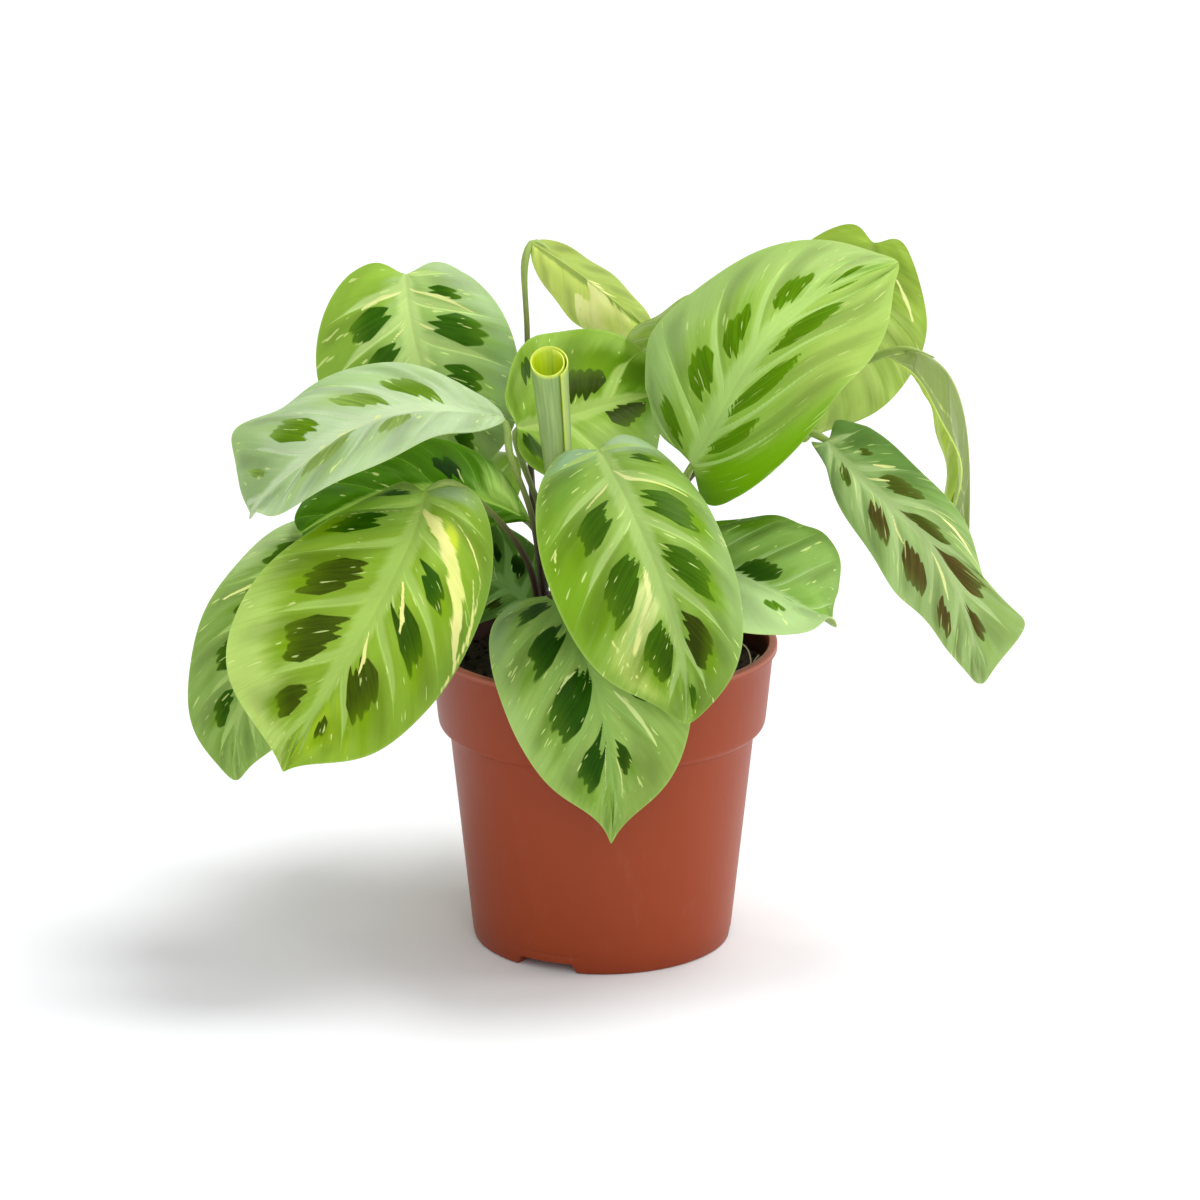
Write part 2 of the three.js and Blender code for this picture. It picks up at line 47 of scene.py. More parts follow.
POT = {"height": 106, "foot": 44.5, "wall_top": 52.5, "wall_z": 76, "collar_foot": 56.3,
       "collar_top": 58.7, "collar_z": 79, "lip": 60, "lip_foot": 58.65, "lip_z": 103.3, "wall": 1.5,
       "floor": 3.6, "step_top": 79.1, "step_foot": 75, "sides": 288}
FOOT_RING = [(14, 0, 0.3), (15, 2, 0.5), (38.5, 2, 0.5), (39.5, 0, 0.3), (44.3, 0, 1.1)]
WALL_ROWS = (3.6, 4.6, 5.2, 5.7, 6.2, 6.7, 7.2, 8.2, 10)
COLLAR = [(52.5, 76, 0.4), (54.6, 76, 0.9), (56, 77.4, 0.9), (56.35, 79.6, 0.8)]
WALL_END, COLLAR_END = (52.4, 75.2), (58.6, 102.6)
DRAIN = {"count": 6, "radius": 4, "ring": 26, "drill": 20}
NOTCH = {"count": 3, "angle": -116, "half": 9.7, "slant": 2, "height": 3.4}
PANEL = {"from": -143, "to": -100, "z": 6.2, "depth": 0.22, "line": 0.35, "fade": 1.5}
SOIL_LEVEL = 94
# Heights up the soil's side, each with its gap to the pot's inner wall
SOIL_SIDE = ((4.2, 0.4), (40, 0.4), (73, 0.4), (80, 0.5))
CRUMBS = {"count": 420, "reach": 55.5, "wall": 55.6, "small": 0.5, "big": 1.7}
ROOTLET_RADIUS = 0.28
ROOTLETS = [[(44, 26, 94), (47, 22, 97.5), (50, 12, 98.5), (51, 2, 97), (50, -6, 94)],
            [(53, 12, 94), (54, 9, 97), (53.5, 5, 98), (52, 3, 96.5), (52.5, 6, 94.5)],
            [(36, 38, 94), (30, 42, 96.5), (24, 44, 95)]]
STALK = {"radius": 0.95, "foot": 0.75, "knee": 0.4, "knee_at": 17, "rooted": 13}
BLADE = {"half": 0.19, "groove": 0.3, "groove_width": 0.9, "keel": 0.75, "keel_width": 1.1}

LEAF = {"lobe": 0.05, "tip": 0.05, "blunt": 0.55, "fat": (0.05, 0.05), "power": (0.9, 0.9),
        "cup": (8, 8), "curl": (-15, -15), "wave": (1, 2.5, 0), "push": []}

# How a leaf is marked: the tones seen on it, blotches as s, t, half length, half width and brown,
# patches of another tone as s, t, half length, half width, strength and tone, all in percent, and
# streaks as strength and a line of s and t in percent and half width in millimetres. Some patches
# are the leaf's own tone; others are painted sheen on curved lobes and margins, and painted light
# on parts that lie in shade.

LOOK = {"pale": "a4c268", "green": "88aa42", "lime": "70961a", "dark": "265006", "brown": "4a4e0e",
        "cream": "eaeea0", "under": "96ae60", "flecks": 0.5, "skew": (0.05, 0.05),
        "band": (0.13, 0.13), "plain": False, "marks": [], "patches": [], "streaks": [],
        "gain": 1.0, "limes": 0.45, "feather": 1.0, "quilt": 1.15, "veins": 0.55}

LEAVES = {
    # Its greyish b4cc96 and 96b676 patches along the margin where t is below zero are painted sheen.
    "leaf_upper_left": dict(
        rib=[(-68, 58, 220), (-65, 45, 201), (-58, 39, 176), (-50, 39, 147)], half=(34, 35),
        face=(0, -0.7, 0.7), face_tip=(0.05, -0.95, 0.3), lobe=0.07, curl=(-25, -25),
        push=[(0.2, 1, 0.2, -1.5, 0, 0), (0.1, -1, 0.12, 2, 0, 1)], stalk=[(-65, 62, 210), (-48, 52, 168),
        (-30, 23, 122)], root=(-25, 15), green="a0be70", pale="b8d280", lime="7ea830", dark="2e5802",
        flecks=1.15, gain=0.86, patches=[(10, 70, 18, 50, 90, "8cb03c"), (40, 80, 35, 45, 90, "8cb046"),
        (12, -85, 14, 35, 90, "b4cc96"), (45, -95, 30, 30, 90, "96b676")], marks=[(15, -42, 3.6, 20),
        (32, -44, 7.2, 26), (52, -40, 5.5, 21), (76, -40, 5, 22), (24, 38, 5.4, 20), (38.5, 32, 4.5, 20),
        (55, 45, 6, 22), (73, 40, 5, 20)], streaks=[(1, [(12, -6, 0.6), (17, -35, 1.1), (24, -65, 0.4)]),
        (1, [(13, 6, 0.4), (15, 30, 1), (18, 50, 0.5)]), (0.9, [(30, 5, 0.3), (33, 16, 0.5),
        (35, 22, 0.2)]), (0.9, [(30, -8, 0.3), (32, -14, 0.6), (33, -20, 0.2)])]),
    "leaf_left_pale": dict(
        rib=[(-33, -12, 187.5), (-64, -22, 192), (-89, -32, 185), (-117, -36, 161)], half=(31, 34),
        face=(0, -0.2, 0.98), cup=(15, 12), blunt=1, fat=(-0.1, -0.5), lobe=0, power=(1, 0.45),
        push=[(0.24, 1, 0.1, 0, 0, 4), (0.47, 1, 0.12, 0, 0, -4), (0.76, 1, 0.12, -5, 0, 2),
        (0.92, -1, 0.08, 0, 0, 4)], stalk=[(-31, -12, 175), (-24, -11, 154), (-20, -7, 125)],
        root=(-18, -3), pale="c8ddb0", green="bed6a6", lime="a4c472", dark="5c8202", flecks=0.8,
        limes=0.6, gain=0.77, feather=0.8, veins=0.25, patches=[(95, 20, 16, 80, 90, "a0be7e"),
        (80, 95, 25, 40, 80, "a2c07c"), (75, -50, 30, 60, 60, "9ebe7a"), (35, 90, 16, 50, 50, "aacc88")],
        marks=[(32, 34, 6, 22), (49.5, 27, 6, 16, 45), (70.5, 37, 6.5, 19, 10), (89.5, 40, 1.8, 20, 60),
        (45, -33, 5.5, 20, 100), (68, -28, 7.5, 29, 80)], brown="7e9c42", streaks=[(0.8, [(50, 4, 0.5),
        (58, -3, 0.9), (66, 2, 0.4)]), (0.8, [(70, 3, 0.4), (78, -4, 0.9), (86, 2, 0.3)])]),
    # Its greyish a6c08c patch at a base lobe is painted sheen, and its 98ba54 patch near the base is
    # painted light on a part in shade.
    "leaf_front_left": dict(
        rib=[(-59, -28, 166), (-69, -58, 145), (-88, -74, 115), (-105, -76, 84)], half=(36, 38),
        face=(-0.1, -0.8, 0.6), face_tip=(-0.2, -0.95, 0.2), lobe=0.06, curl=(-70, -5), fat=(0.05, -0.3),
        blunt=0.15, stalk=[(-51, -27, 169), (-36, -22, 156), (-25, -17, 138), (-21, -12, 118)],
        root=(-20, -10), limes=0.8, flecks=0.75, pale="a0be5c", green="88a938", lime="769a12",
        dark="284c00", brown="3a4a00", cream="f2f09c", gain=0.88, patches=[(75, 85, 20, 35, 90, "b8d270"),
        (50, 95, 16, 25, 70, "a8c664"), (18, 75, 10, 40, 80, "629014"), (4, -50, 5, 40, 90, "a6c08c"),
        (85, -40, 16, 50, 70, "98b824"), (10, 40, 12, 50, 90, "98ba54"), (30, -95, 25, 20, 70, "7a9e3c"),
        (20.5, -37, 3.5, 9, 130, "bece36")], marks=[(22, 58, 5, 24), (43, 41, 7, 20, 85),
        (62, 36, 7.5, 20, 90), (78.5, 44, 4, 21, 90), (34.5, -34, 3.6, 19), (48, -38, 4.4, 25, 35),
        (66.5, -36, 6.7, 25, 90), (81.5, -40, 2.6, 16, 70), (7.5, 62, 2, 30)], streaks=[(1.2,
        [(14, -5, 1.6), (19, -20, 3.2), (26, -42, 3), (33, -68, 2.8), (37, -86, 0.8)]), (0.45,
        [(22, -80, 1.8), (32, -90, 2.6), (42, -95, 1.8)]), (0.8, [(24, -70, 0.5), (29, -86, 1),
        (32, -95, 0.5)]), (0.8, [(14, -35, 0.4), (18, -60, 0.8), (22, -80, 0.4)]), (1, [(40, -10, 0.6),
        (47, -25, 1.3), (50, -31, 0.5)]), (1, [(57, -6, 0.5), (62, -16, 1.2), (66, -24, 0.4)]), (0.7,
        [(13, 8, 0.3), (16, 40, 0.7), (18, 60, 0.3)])]),
    "leaf_lower_left": dict(
        rib=[(-88, 17, 140), (-106, -1, 120), (-121, -11, 91), (-125, -15, 60)], half=(26, 26),
        face=(-0.3, -0.8, 0.45), lobe=0.02, stalk=[(-81, 21, 141), (-58, 25, 130), (-35, 14, 112)],
        root=(-31, 10), green="88a656", pale="a0ba6a", lime="62841e", dark="2a4c04", flecks=1,
        patches=[(15, 90, 16, 40, 90, "a8c080")], streaks=[(1, [(30, 10, 0.6), (34, 40, 1.2),
        (38, 80, 0.5)]), (1, [(48, -10, 0.6), (52, -30, 1.5), (57, -60, 0.8)])]),
    "leaf_mid_left": dict(
        rib=[(-24, -5, 149), (-52, 2, 158), (-78, 8, 154), (-103, 8, 141)], half=(29, 26),
        face=(-0.1, -0.4, 0.9), blunt=1, lobe=0, fat=(-0.1, -0.25), power=(2.4, 0.6),
        stalk=[(-21, -2, 140), (-20, 3, 120)], root=(-22, 5), green="447204", lime="346002",
        dark="102e00", pale="84a844", band=(0.08, 0.1), patches=[(16, 20, 14, 70, 90, "96b858"),
        (55, -10, 20, 30, 80, "7ca03c")], feather=0.4, marks=[(41, 32, 5, 19), (44, -40, 5, 20),
        (65, -40, 5, 20)]),
    # Its greyish 96b68c and a8c496 patches at the base lobes are painted sheen.
    "leaf_front_center": dict(
        rib=[(-1, -18, 178), (14, -62, 159), (25, -76, 129), (27, -74, 100)], half=(31, 35),
        face=(-0.1, -0.7, 0.7), face_tip=(0, -0.95, 0.3), lobe=0.06, curl=(-75, -10), fat=(0.05, -0.05),
        stalk=[(-3, -13, 170), (-5, -6, 140), (-6, -3, 116)], root=(-6, -3), pale="a6c46e",
        green="8caf4c", lime="6c941a", dark="385c02", brown="323e06", limes=0.8, gain=0.8, flecks=1,
        patches=[(42, 85, 20, 35, 90, "7aa428"), (88, 30, 10, 40, 60, "86ac3c"),
        (19, 55, 6, 30, 80, "729a3c"), (5, 50, 6, 50, 100, "96b68c"), (6, -60, 7, 50, 100, "a8c496"),
        (45, -95, 30, 35, 90, "8eac64"), (80, -90, 14, 35, 140, "708e32"), (64, 20, 4, 20, 140, "cede8c"),
        (67, 50, 4.5, 22, 130, "c8d980"), (76, 78, 8, 16, 100, "bad068")], marks=[(16.5, -42, 2.6, 17),
        (38.5, -38, 6.2, 22), (57, -37, 6.4, 23, 5), (75.5, -37, 6.7, 22, 80), (90, -42, 2.5, 24),
        (37.5, 36, 5.7, 20), (56, 37, 6.4, 23), (76.5, 34, 7, 25, 25)], streaks=[(1.1, [(20, -3, 0.5),
        (26.5, -12, 1.2), (28.5, -30, 1.1), (31, -60, 0.5)]), (1, [(24, 6, 0.4), (28, 20, 1.1),
        (31, 40, 0.5)]), (0.9, [(31, 82, 0.3), (34.5, 88, 0.8), (38, 95, 0.3)]), (0.45, [(57, 12, 1.6),
        (64, 18, 3.2), (67, 45, 3.4), (72, 70, 2)]), (0.3, [(60, 75, 1.5), (70, 80, 2.4), (80, 85, 1.5)])]),
    # Its greyish 92b074 patch at a base lobe is painted sheen.
    "leaf_pot_front": dict(
        rib=[(-18, -22, 128), (-6, -60, 119), (2, -67, 90), (3, -68, 56)], half=(34, 31),
        face=(0, -0.8, 0.6), face_tip=(0, -0.98, 0.15), fat=(0.25, 0.05), tip=0.07, blunt=0.15,
        stalk=[(-17, -19, 123), (-14, -15, 110)], root=(-13, -13), pale="8eb25a", green="98b85e",
        dark="204400", lime="688e2c", cream="d6e896", flecks=1.1, limes=0.6, gain=0.86,
        patches=[(12, 80, 14, 30, 80, "92b074"), (85, 20, 15, 60, 60, "7ea23e"),
        (45, 95, 20, 20, 70, "96b468"), (75, -85, 20, 40, 80, "84a04c")], marks=[(17.5, 27, 5, 24),
        (36, 32, 6.2, 24), (55, 30, 8, 30), (74.5, 36, 5.6, 32), (74, -30, 4.2, 16, 30), (50, -40, 6, 20),
        (28, -40, 5, 20)], streaks=[(1, [(56, -20, 0.4), (60, -45, 1.2), (64, -75, 0.4)]), (1,
        [(74, -12, 0.3), (79, -30, 0.8), (84, -50, 0.3)]), (1, [(72, 4, 0.3), (77, 12, 0.9),
        (82, 24, 0.3)]), (0.9, [(47, 5, 0.4), (48, 25, 0.8), (49, 40, 0.3)])]),
    "leaf_crown_low": dict(
        rib=[(-26, 0, 119), (-39, 8, 126), (-56, 14, 128), (-71, 18, 128)], half=(22, 20),
        face=(-0.1, -0.7, 0.7), stalk=[(-28, -3, 112)], root=(-29, -4), pale="7a9e5c", green="5e843e",
        dark="122c08", lime="466822", flecks=1, gain=1.05),
    # Painted light: its strong cede74 patch lightens the half where t is above zero, which lies in shade.
    "leaf_top_folded": dict(
        rib=[(-24, 62, 230), (-9, 58, 221), (6, 58, 209), (20, 62, 195)], half=(12, 17),
        face=(-0.2, -0.95, -0.2), cup=(-75, 0), curl=(-20, -15), lobe=0, fat=(0, -0.2),
        stalk=[(-26.5, 61, 225), (-26, 57, 200), (-24, 38, 145), (-20, 25, 118)], root=(-19, 20),
        pale="9aac58", green="96a854", lime="8ea042", dark="8c9a46", cream="ffffb0",
        patches=[(50, 60, 300, 300, 160, "cede74")], under="ccdc84", flecks=0.2, plain=True, feather=0.3,
        streaks=[(1.2, [(50, 10, 1), (60, 30, 5), (70, 55, 7), (80, 80, 5)]), (1.3, [(45, 50, 1.5),
        (60, 80, 7), (80, 90, 8)])]),
    "leaf_back_center": dict(
        rib=[(-29, 14, 177), (-11, 22, 179), (6, 30, 182), (24, 34, 183)], half=(33, 33),
        face=(0.1, -0.7, 0.7), stalk=[(-28, 16, 167), (-16, 18, 130)], root=(-15, 11), green="8aae42",
        lime="689212", pale="a2be62", dark="284800", brown="2e3e00", gain=0.86,
        patches=[(50, -50, 20, 25, 90, "6a900c"), (80, -50, 20, 40, 90, "588218"),
        (85, 40, 15, 50, 80, "5c881e"), (10, 60, 10, 40, 80, "547a14"), (45, 50, 14, 40, 80, "a4c064"),
        (78, 95, 15, 30, 140, "9cbc6c")], marks=[(8, 45, 4.5, 33), (53, -30, 12.5, 17, 70),
        (70, 26, 13, 20, 80), (20, -66, 4.5, 18)]),
    "leaf_back_left": dict(
        rib=[(-40, 38, 142), (-56, 62, 148), (-68, 83, 132), (-74, 95, 104)], half=(27, 27),
        face=(-0.4, 0.4, 0.85), stalk=[(-38, 34, 134), (-30, 25, 113)], root=(-26, 22)),
    "leaf_back_low": dict(
        rib=[(4, 34, 134), (6, 64, 143), (10, 88, 130), (13, 102, 102)], half=(25, 25),
        face=(0.1, 0.45, 0.85), stalk=[(0, 27, 126), (-8, 22, 110)], root=(-10, 20), green="7aa042"),
    "leaf_back_tall": dict(
        rib=[(-4, 48, 176), (-8, 76, 182), (-14, 98, 166), (-18, 110, 140)], half=(22, 22),
        face=(-0.1, 0.45, 0.85), stalk=[(-4, 42, 164), (-4, 18, 125)], root=(-4, 13), green="8eb04c"),
    "leaf_back_right_low": dict(
        rib=[(20, 30, 128), (34, 54, 130), (46, 74, 113), (53, 84, 88)], half=(20, 20),
        face=(0.4, 0.35, 0.85), stalk=[(15, 25, 120), (4, 20, 106)], root=(1, 18), green="789c48"),
}
# The leafy stem; its joints are places along it, each with its swelling
SHOOT = {"name": "shoot_right", "root": (4, 7), "radius": 1.25, "foot": 0.7,
         "joints": ((0.62, 0.35), (0.08, 0.3)),
         "stem": [(66, 26, 196), (56, 21, 185), (35, 13, 166), (17, 8, 144), (8, 7, 122)]}
SHOOT_LEAVES = {
    "leaf_right_low": dict(
        rib=[(26, -14, 145), (42, -30, 140), (60, -38, 133), (77, -36, 122)], half=(30, 38),
        face=(0.1, -0.45, 0.85), face_tip=(0, -0.25, 0.95), cup=(20, 15), power=(0.9, 0.65), blunt=1,
        fat=(-0.3, 0.4), push=[(0.78, -1, 0.18, 6, 0, 2), (0.84, 1, 0.12, -1, 0, 5)],
        stalk=[(20, -9, 140), (12, 0, 128), (7.5, 7, 116)], green="88ae54", pale="aac884", lime="5c821a",
        dark="284c02", flecks=0.9, limes=0.3, band=(0.06, 1.4), gain=0.84, feather=0.6,
        patches=[(15, -90, 28, 50, 100, "547e08"), (75, -70, 25, 40, 80, "8cb05a"),
        (60, 70, 60, 90, 100, "94b284")], marks=[(56, -13, 10, 16), (78, 8, 3.5, 12, 50),
        (65, 50, 4.6, 13, 50), (30, 30, 5, 20)], brown="547e1a"),
    "leaf_top_right": dict(
        rib=[(30, -10, 171), (45, -20, 202), (63, -16, 225), (99, 0, 238)], half=(36, 37),
        face=(-0.3, -0.75, 0.6), curl=(-35, -15), fat=(0.4, 0.05), power=(0.7, 0.9), stalk=[(26, -4, 160),
        (17, 8, 144)], push=[(0.25, 1, 0.2, 0, 0, 5), (0.16, -1, 0.16, -6, 0, -1)], pale="a6c66e",
        green="92b44e", lime="68980e", dark="4e7400", skew=(0.12, 0.45), limes=0.25, flecks=0.9,
        patches=[(2, 80, 20, 35, 100, "689804"), (22, 100, 14, 30, 90, "689804"),
        (12, 45, 8, 25, 70, "68960a"), (15, -85, 22, 35, 90, "a0be74"), (50, -90, 25, 30, 80, "94b260"),
        (82, -60, 20, 50, 100, "a2bc6e"), (80, 60, 25, 50, 100, "96b256"),
        (50, 75, 16, 25, 90, "9cb656")], marks=[(9.5, -41, 4.6, 20), (32, -31, 7, 15.5),
        (48.5, -29, 5.8, 16), (67, -27, 6.2, 16), (85.5, -20, 2.5, 20, 10), (21.5, 26, 5.5, 17),
        (41, 27, 6.2, 18), (62, 27, 8.5, 16), (80, 20, 2, 11, 20)]),
    # Painted light: its c8dc80 and c4d878 patches lighten the outer part of the blade, which leaf_top_right
    # shades.
    "leaf_back_right": dict(
        rib=[(93, 42, 235), (86, 34, 215), (79, 28, 193), (69, 28, 168)], half=(26, 27),
        face=(0.1, -0.8, 0.5), lobe=0.07, curl=(-30, -20), push=[(0.3, -1, 0.15, 2, 0, 0),
        (0.08, 1, 0.1, -4, 0, -1.5), (0.75, -1, 0.2, -3, 0, 3)], stalk=[(90, 46, 226), (76, 40, 208),
        (60, 23, 189)], green="8eaa42", pale="94ae4c", lime="86a430", dark="748e28", plain=True,
        flecks=0.3, feather=0.3, patches=[(75, -40, 40, 120, 100, "c8dc80"),
        (75, 40, 40, 120, 80, "c4d878")], gain=0.92, streaks=[(1, [(17, -50, 0.4), (22, -62, 1.1),
        (28, -75, 0.5)])]),
    # Painted shade and painted light: its underside, which faces the lamps, has darkened tones, and its
    # upper face, which lies in shade, has lighter tones and a gain of 1.5.
    "leaf_right_folded": dict(
        rib=[(103, 15, 203), (118, 8, 195), (124, 5, 171), (125, 8, 134)], half=(22, 18),
        face=(-0.57, -0.25, -0.85), face_tip=(-0.95, 0, 0.1), cup=(25, 25), power=(0.6, 0.9),
        push=[(0.2, -1, 0.15, -3, 0, -3), (0.2, 1, 0.15, -3, 0, -3), (0.72, 1, 0.15, -3, 0, 0),
        (0.72, -1, 0.15, -3, 0, 0)], stalk=[(98, 17, 203), (87, 20, 198), (66, 26, 195)], under="6a7e2c",
        green="b6c860", pale="bece7c", lime="9cb43c", plain=True, flecks=0.2, gain=1.5, cream="b0be5c",
        streaks=[(0.3, [(5, -90, 1), (30, -80, 2.4), (60, -50, 3), (90, -20, 1.5)]), (0.25,
        [(10, 30, 0.8), (40, 45, 1.8), (75, 70, 1.6)])], marks=[(25, 50, 3, 30), (50, -50, 3, 30),
        (75, 50, 3, 30)], dark="607a14"),
    "leaf_right_hanging": dict(
        rib=[(76, -5, 177.5), (97, -20, 159.5), (115.5, -27, 140), (128, -22, 97)], half=(15, 15),
        face=(-0.3, -0.8, 0.5), curl=(-30, -30), fat=(-0.1, 0), power=(0.6, 0.7),
        push=[(0.12, -1, 0.12, 3, 0, 3), (0.5, -1, 0.1, -4.5, 0, -3.5), (0.7, -1, 0.1, 6, 0, 4),
        (0.04, 1, 0.1, 6, 0, 2), (0.42, 1, 0.15, -4, 0, -3)], stalk=[(65, 3, 180), (52, 12, 177),
        (43, 16, 173)], pale="aac082", green="9ab472", lime="789846", dark="46561e", brown="4e4424",
        flecks=1.2, limes=0.3, gain=0.96, patches=[(15, -80, 25, 60, 95, "668a44"),
        (75, -70, 25, 50, 50, "8ca656"), (5, 60, 8, 50, 70, "7e9c68")], marks=[(15, -50, 2.2, 12),
        (31, -42, 6.2, 21, 30), (47.5, -17, 5.6, 20, 35), (63.5, -22, 5.8, 30, 100),
        (79, -24, 3.6, 28, 100), (17, 22, 3.4, 15, 10), (33, 40, 4.7, 22, 60), (49.5, 53, 6.6, 24, 90),
        (68.5, 63, 5.6, 20, 90)], streaks=[(1, [(24, -10, 0.3), (26, -20, 0.7), (28, -35, 0.3)]), (1,
        [(20, -40, 0.3), (22, -55, 0.8), (23, -70, 0.3)]), (1, [(36, 10, 0.3), (40, 30, 0.7),
        (44, 40, 0.3)]), (1, [(55, 10, 0.3), (63, 22, 0.9), (68, 34, 0.3)]), (1, [(40, -50, 0.3),
        (44, -70, 0.6), (48, -85, 0.3)])]),
    "leaf_back_top": dict(
        rib=[(57, 30, 221), (40, 39, 212), (24, 48, 201), (8, 58, 190)], half=(17, 17),
        face=(-0.1, 0.6, 0.8), stalk=[(63, 30, 214), (65, 28, 204), (66, 26, 195)], under="a6bc54",
        green="96b648", plain=True),
}
ROLL = {"name": "leaf_rolled", "foot": (-14, -11, 157), "mouth": (-18, -9, 206), "foot_radius": 4.4,
        "mouth_radius": 6.6, "turns": 1.35, "start": -0.9, "inset": 1.6, "lean": 0.62, "half": 0.22,
        "height": 49, "width": 55, "stalk": [(-14, -11, 163), (-12, -9, 138), (-11, -4, 118)],
        "root": (-12, -3)}
HIDDEN = ("leaf_back_left", "leaf_back_low", "leaf_back_tall", "leaf_back_right_low",
          "leaf_back_top", "leaf_crown_low")

# The camera's target is in millimetres, its distance, the lamps and the floor in metres. A lamp is
# its size, power and place, and all lamps aim at one point.

CAMERA = {"target": (-0.7, 0, 119.8), "distance": 1.8, "elevation": 17, "focal": 5274, "frame": 1200}
LAMPS = {"right_side": (0.8, 10, (1.7, 0.1, 0.6)), "front_fill": (1.6, 13, (0.2, -2.2, 1.3))}
LAMP_AIM = (0, 0, 0.12)
SUN = {"power": 1.85, "angle": 27, "towards": (0.40, 0.13, 1.0)}
SKY = 0.65
FLOOR_REACH = 12.0

# Nodes

LIGHT = 0.92
LEAF_GLOSS = 0.006
LEAF_DEPTHS = (0.5, 1.0, 0.2)


def tone(code, gloss=0.012):
    """A tone as the camera sees it, turned into the surface's own colour without its gloss."""
    linear = [((v / 255 + 0.055) / 1.055) ** 2.4 if v > 10 else v / 3295 for v in bytes.fromhex(code)]
    return lit([max(v - gloss, 0.3 * v) for v in linear], 1 / LIGHT)


def lit(colour, factor):
    return tuple(v * factor for v in colour)


class Graph:
    """Short calls that make the nodes of one material."""

    def __init__(self, name):
        self.material = bpy.data.materials.new(name)
        self.material.use_nodes = True
        self.tree = self.material.node_tree
        self.tree.nodes.clear()
        output = self.tree.nodes.new("ShaderNodeOutputMaterial")
        self.shader = self.tree.nodes.new("ShaderNodeBsdfPrincipled")
        self.tree.links.new(self.shader.outputs[0], output.inputs[0])

    def put(self, socket, value):
        if isinstance(value, bpy.types.NodeSocket):
            self.tree.links.new(value, socket)
        elif socket.type == "RGBA":
            socket.default_value = (*value, 1)
        else:
            socket.default_value = value

    def set(self, **values):
        for name, value in values.items():
            self.put(self.shader.inputs[name.replace("_", " ").title().replace("Ior", "IOR")], value)

    def node(self, kind, inputs, **settings):
        node = self.tree.nodes.new("ShaderNode" + kind)
        for name, value in settings.items():
            setattr(node, name, value)
        for name, value in inputs.items():
            self.put(node.inputs[name], value)
        return node.outputs

    def math(self, operation, a, b=0.0, clamp=False):
        return self.node("Math", {0: a, 1: b}, operation=operation, use_clamp=clamp)[0]

    def plus(self, a, b):
        return self.math("ADD", a, b)

    def times(self, a, b, clamp=False):
        return self.math("MULTIPLY", a, b, clamp)

    def scaled(self, value, factor, offset=0.0):
        return self.plus(self.times(value, factor), offset)

    def mix(self, factor, a, b):
        return self.node("Mix", {0: factor, 6: a, 7: b}, data_type="RGBA", clamp_factor=True)[2]

    def tint(self, colour, factor):
        grey = self.node("CombineColor", {0: factor, 1: factor, 2: factor})[0]
        return self.node("Mix", {0: 1, 6: colour, 7: grey}, data_type="RGBA", blend_type="MULTIPLY")[2]

    def noise(self, vector, scale=1.0, detail=2.0, roughness=0.5):
        inputs = {"Vector": vector, "Scale": scale, "Detail": detail, "Roughness": roughness}
        return self.node("TexNoise", inputs)[0]

    def drawn(self, vector, x, y, z=1.0, shift=0.0, detail=2.0, roughness=0.5):
        """Noise drawn out along an axis."""
        inputs = {"Vector": vector, "Scale": (x, y, z), "Location": (shift, 0, shift)}
        return self.noise(self.node("Mapping", inputs)[0], 1.0, detail, roughness)

    def attribute(self, name):
        return self.node("Attribute", {}, attribute_name=name)["Vector"]

    def place(self):
        return self.node("TexCoord", {})["Object"]

    def split(self, vector):
        return tuple(self.node("SeparateXYZ", {0: vector}))

    def fields(self, name):
        return self.split(self.attribute(name))

    def ramp(self, value, low, high):
        return self.node("MapRange", {0: value, 1: low, 2: high}, interpolation_type="SMOOTHSTEP")[0]

    def bump(self, height, distance, strength=1.0):
        inputs = {"Height": height, "Distance": distance * MM, "Strength": strength}
        self.set(normal=self.node("Bump", inputs)[0])


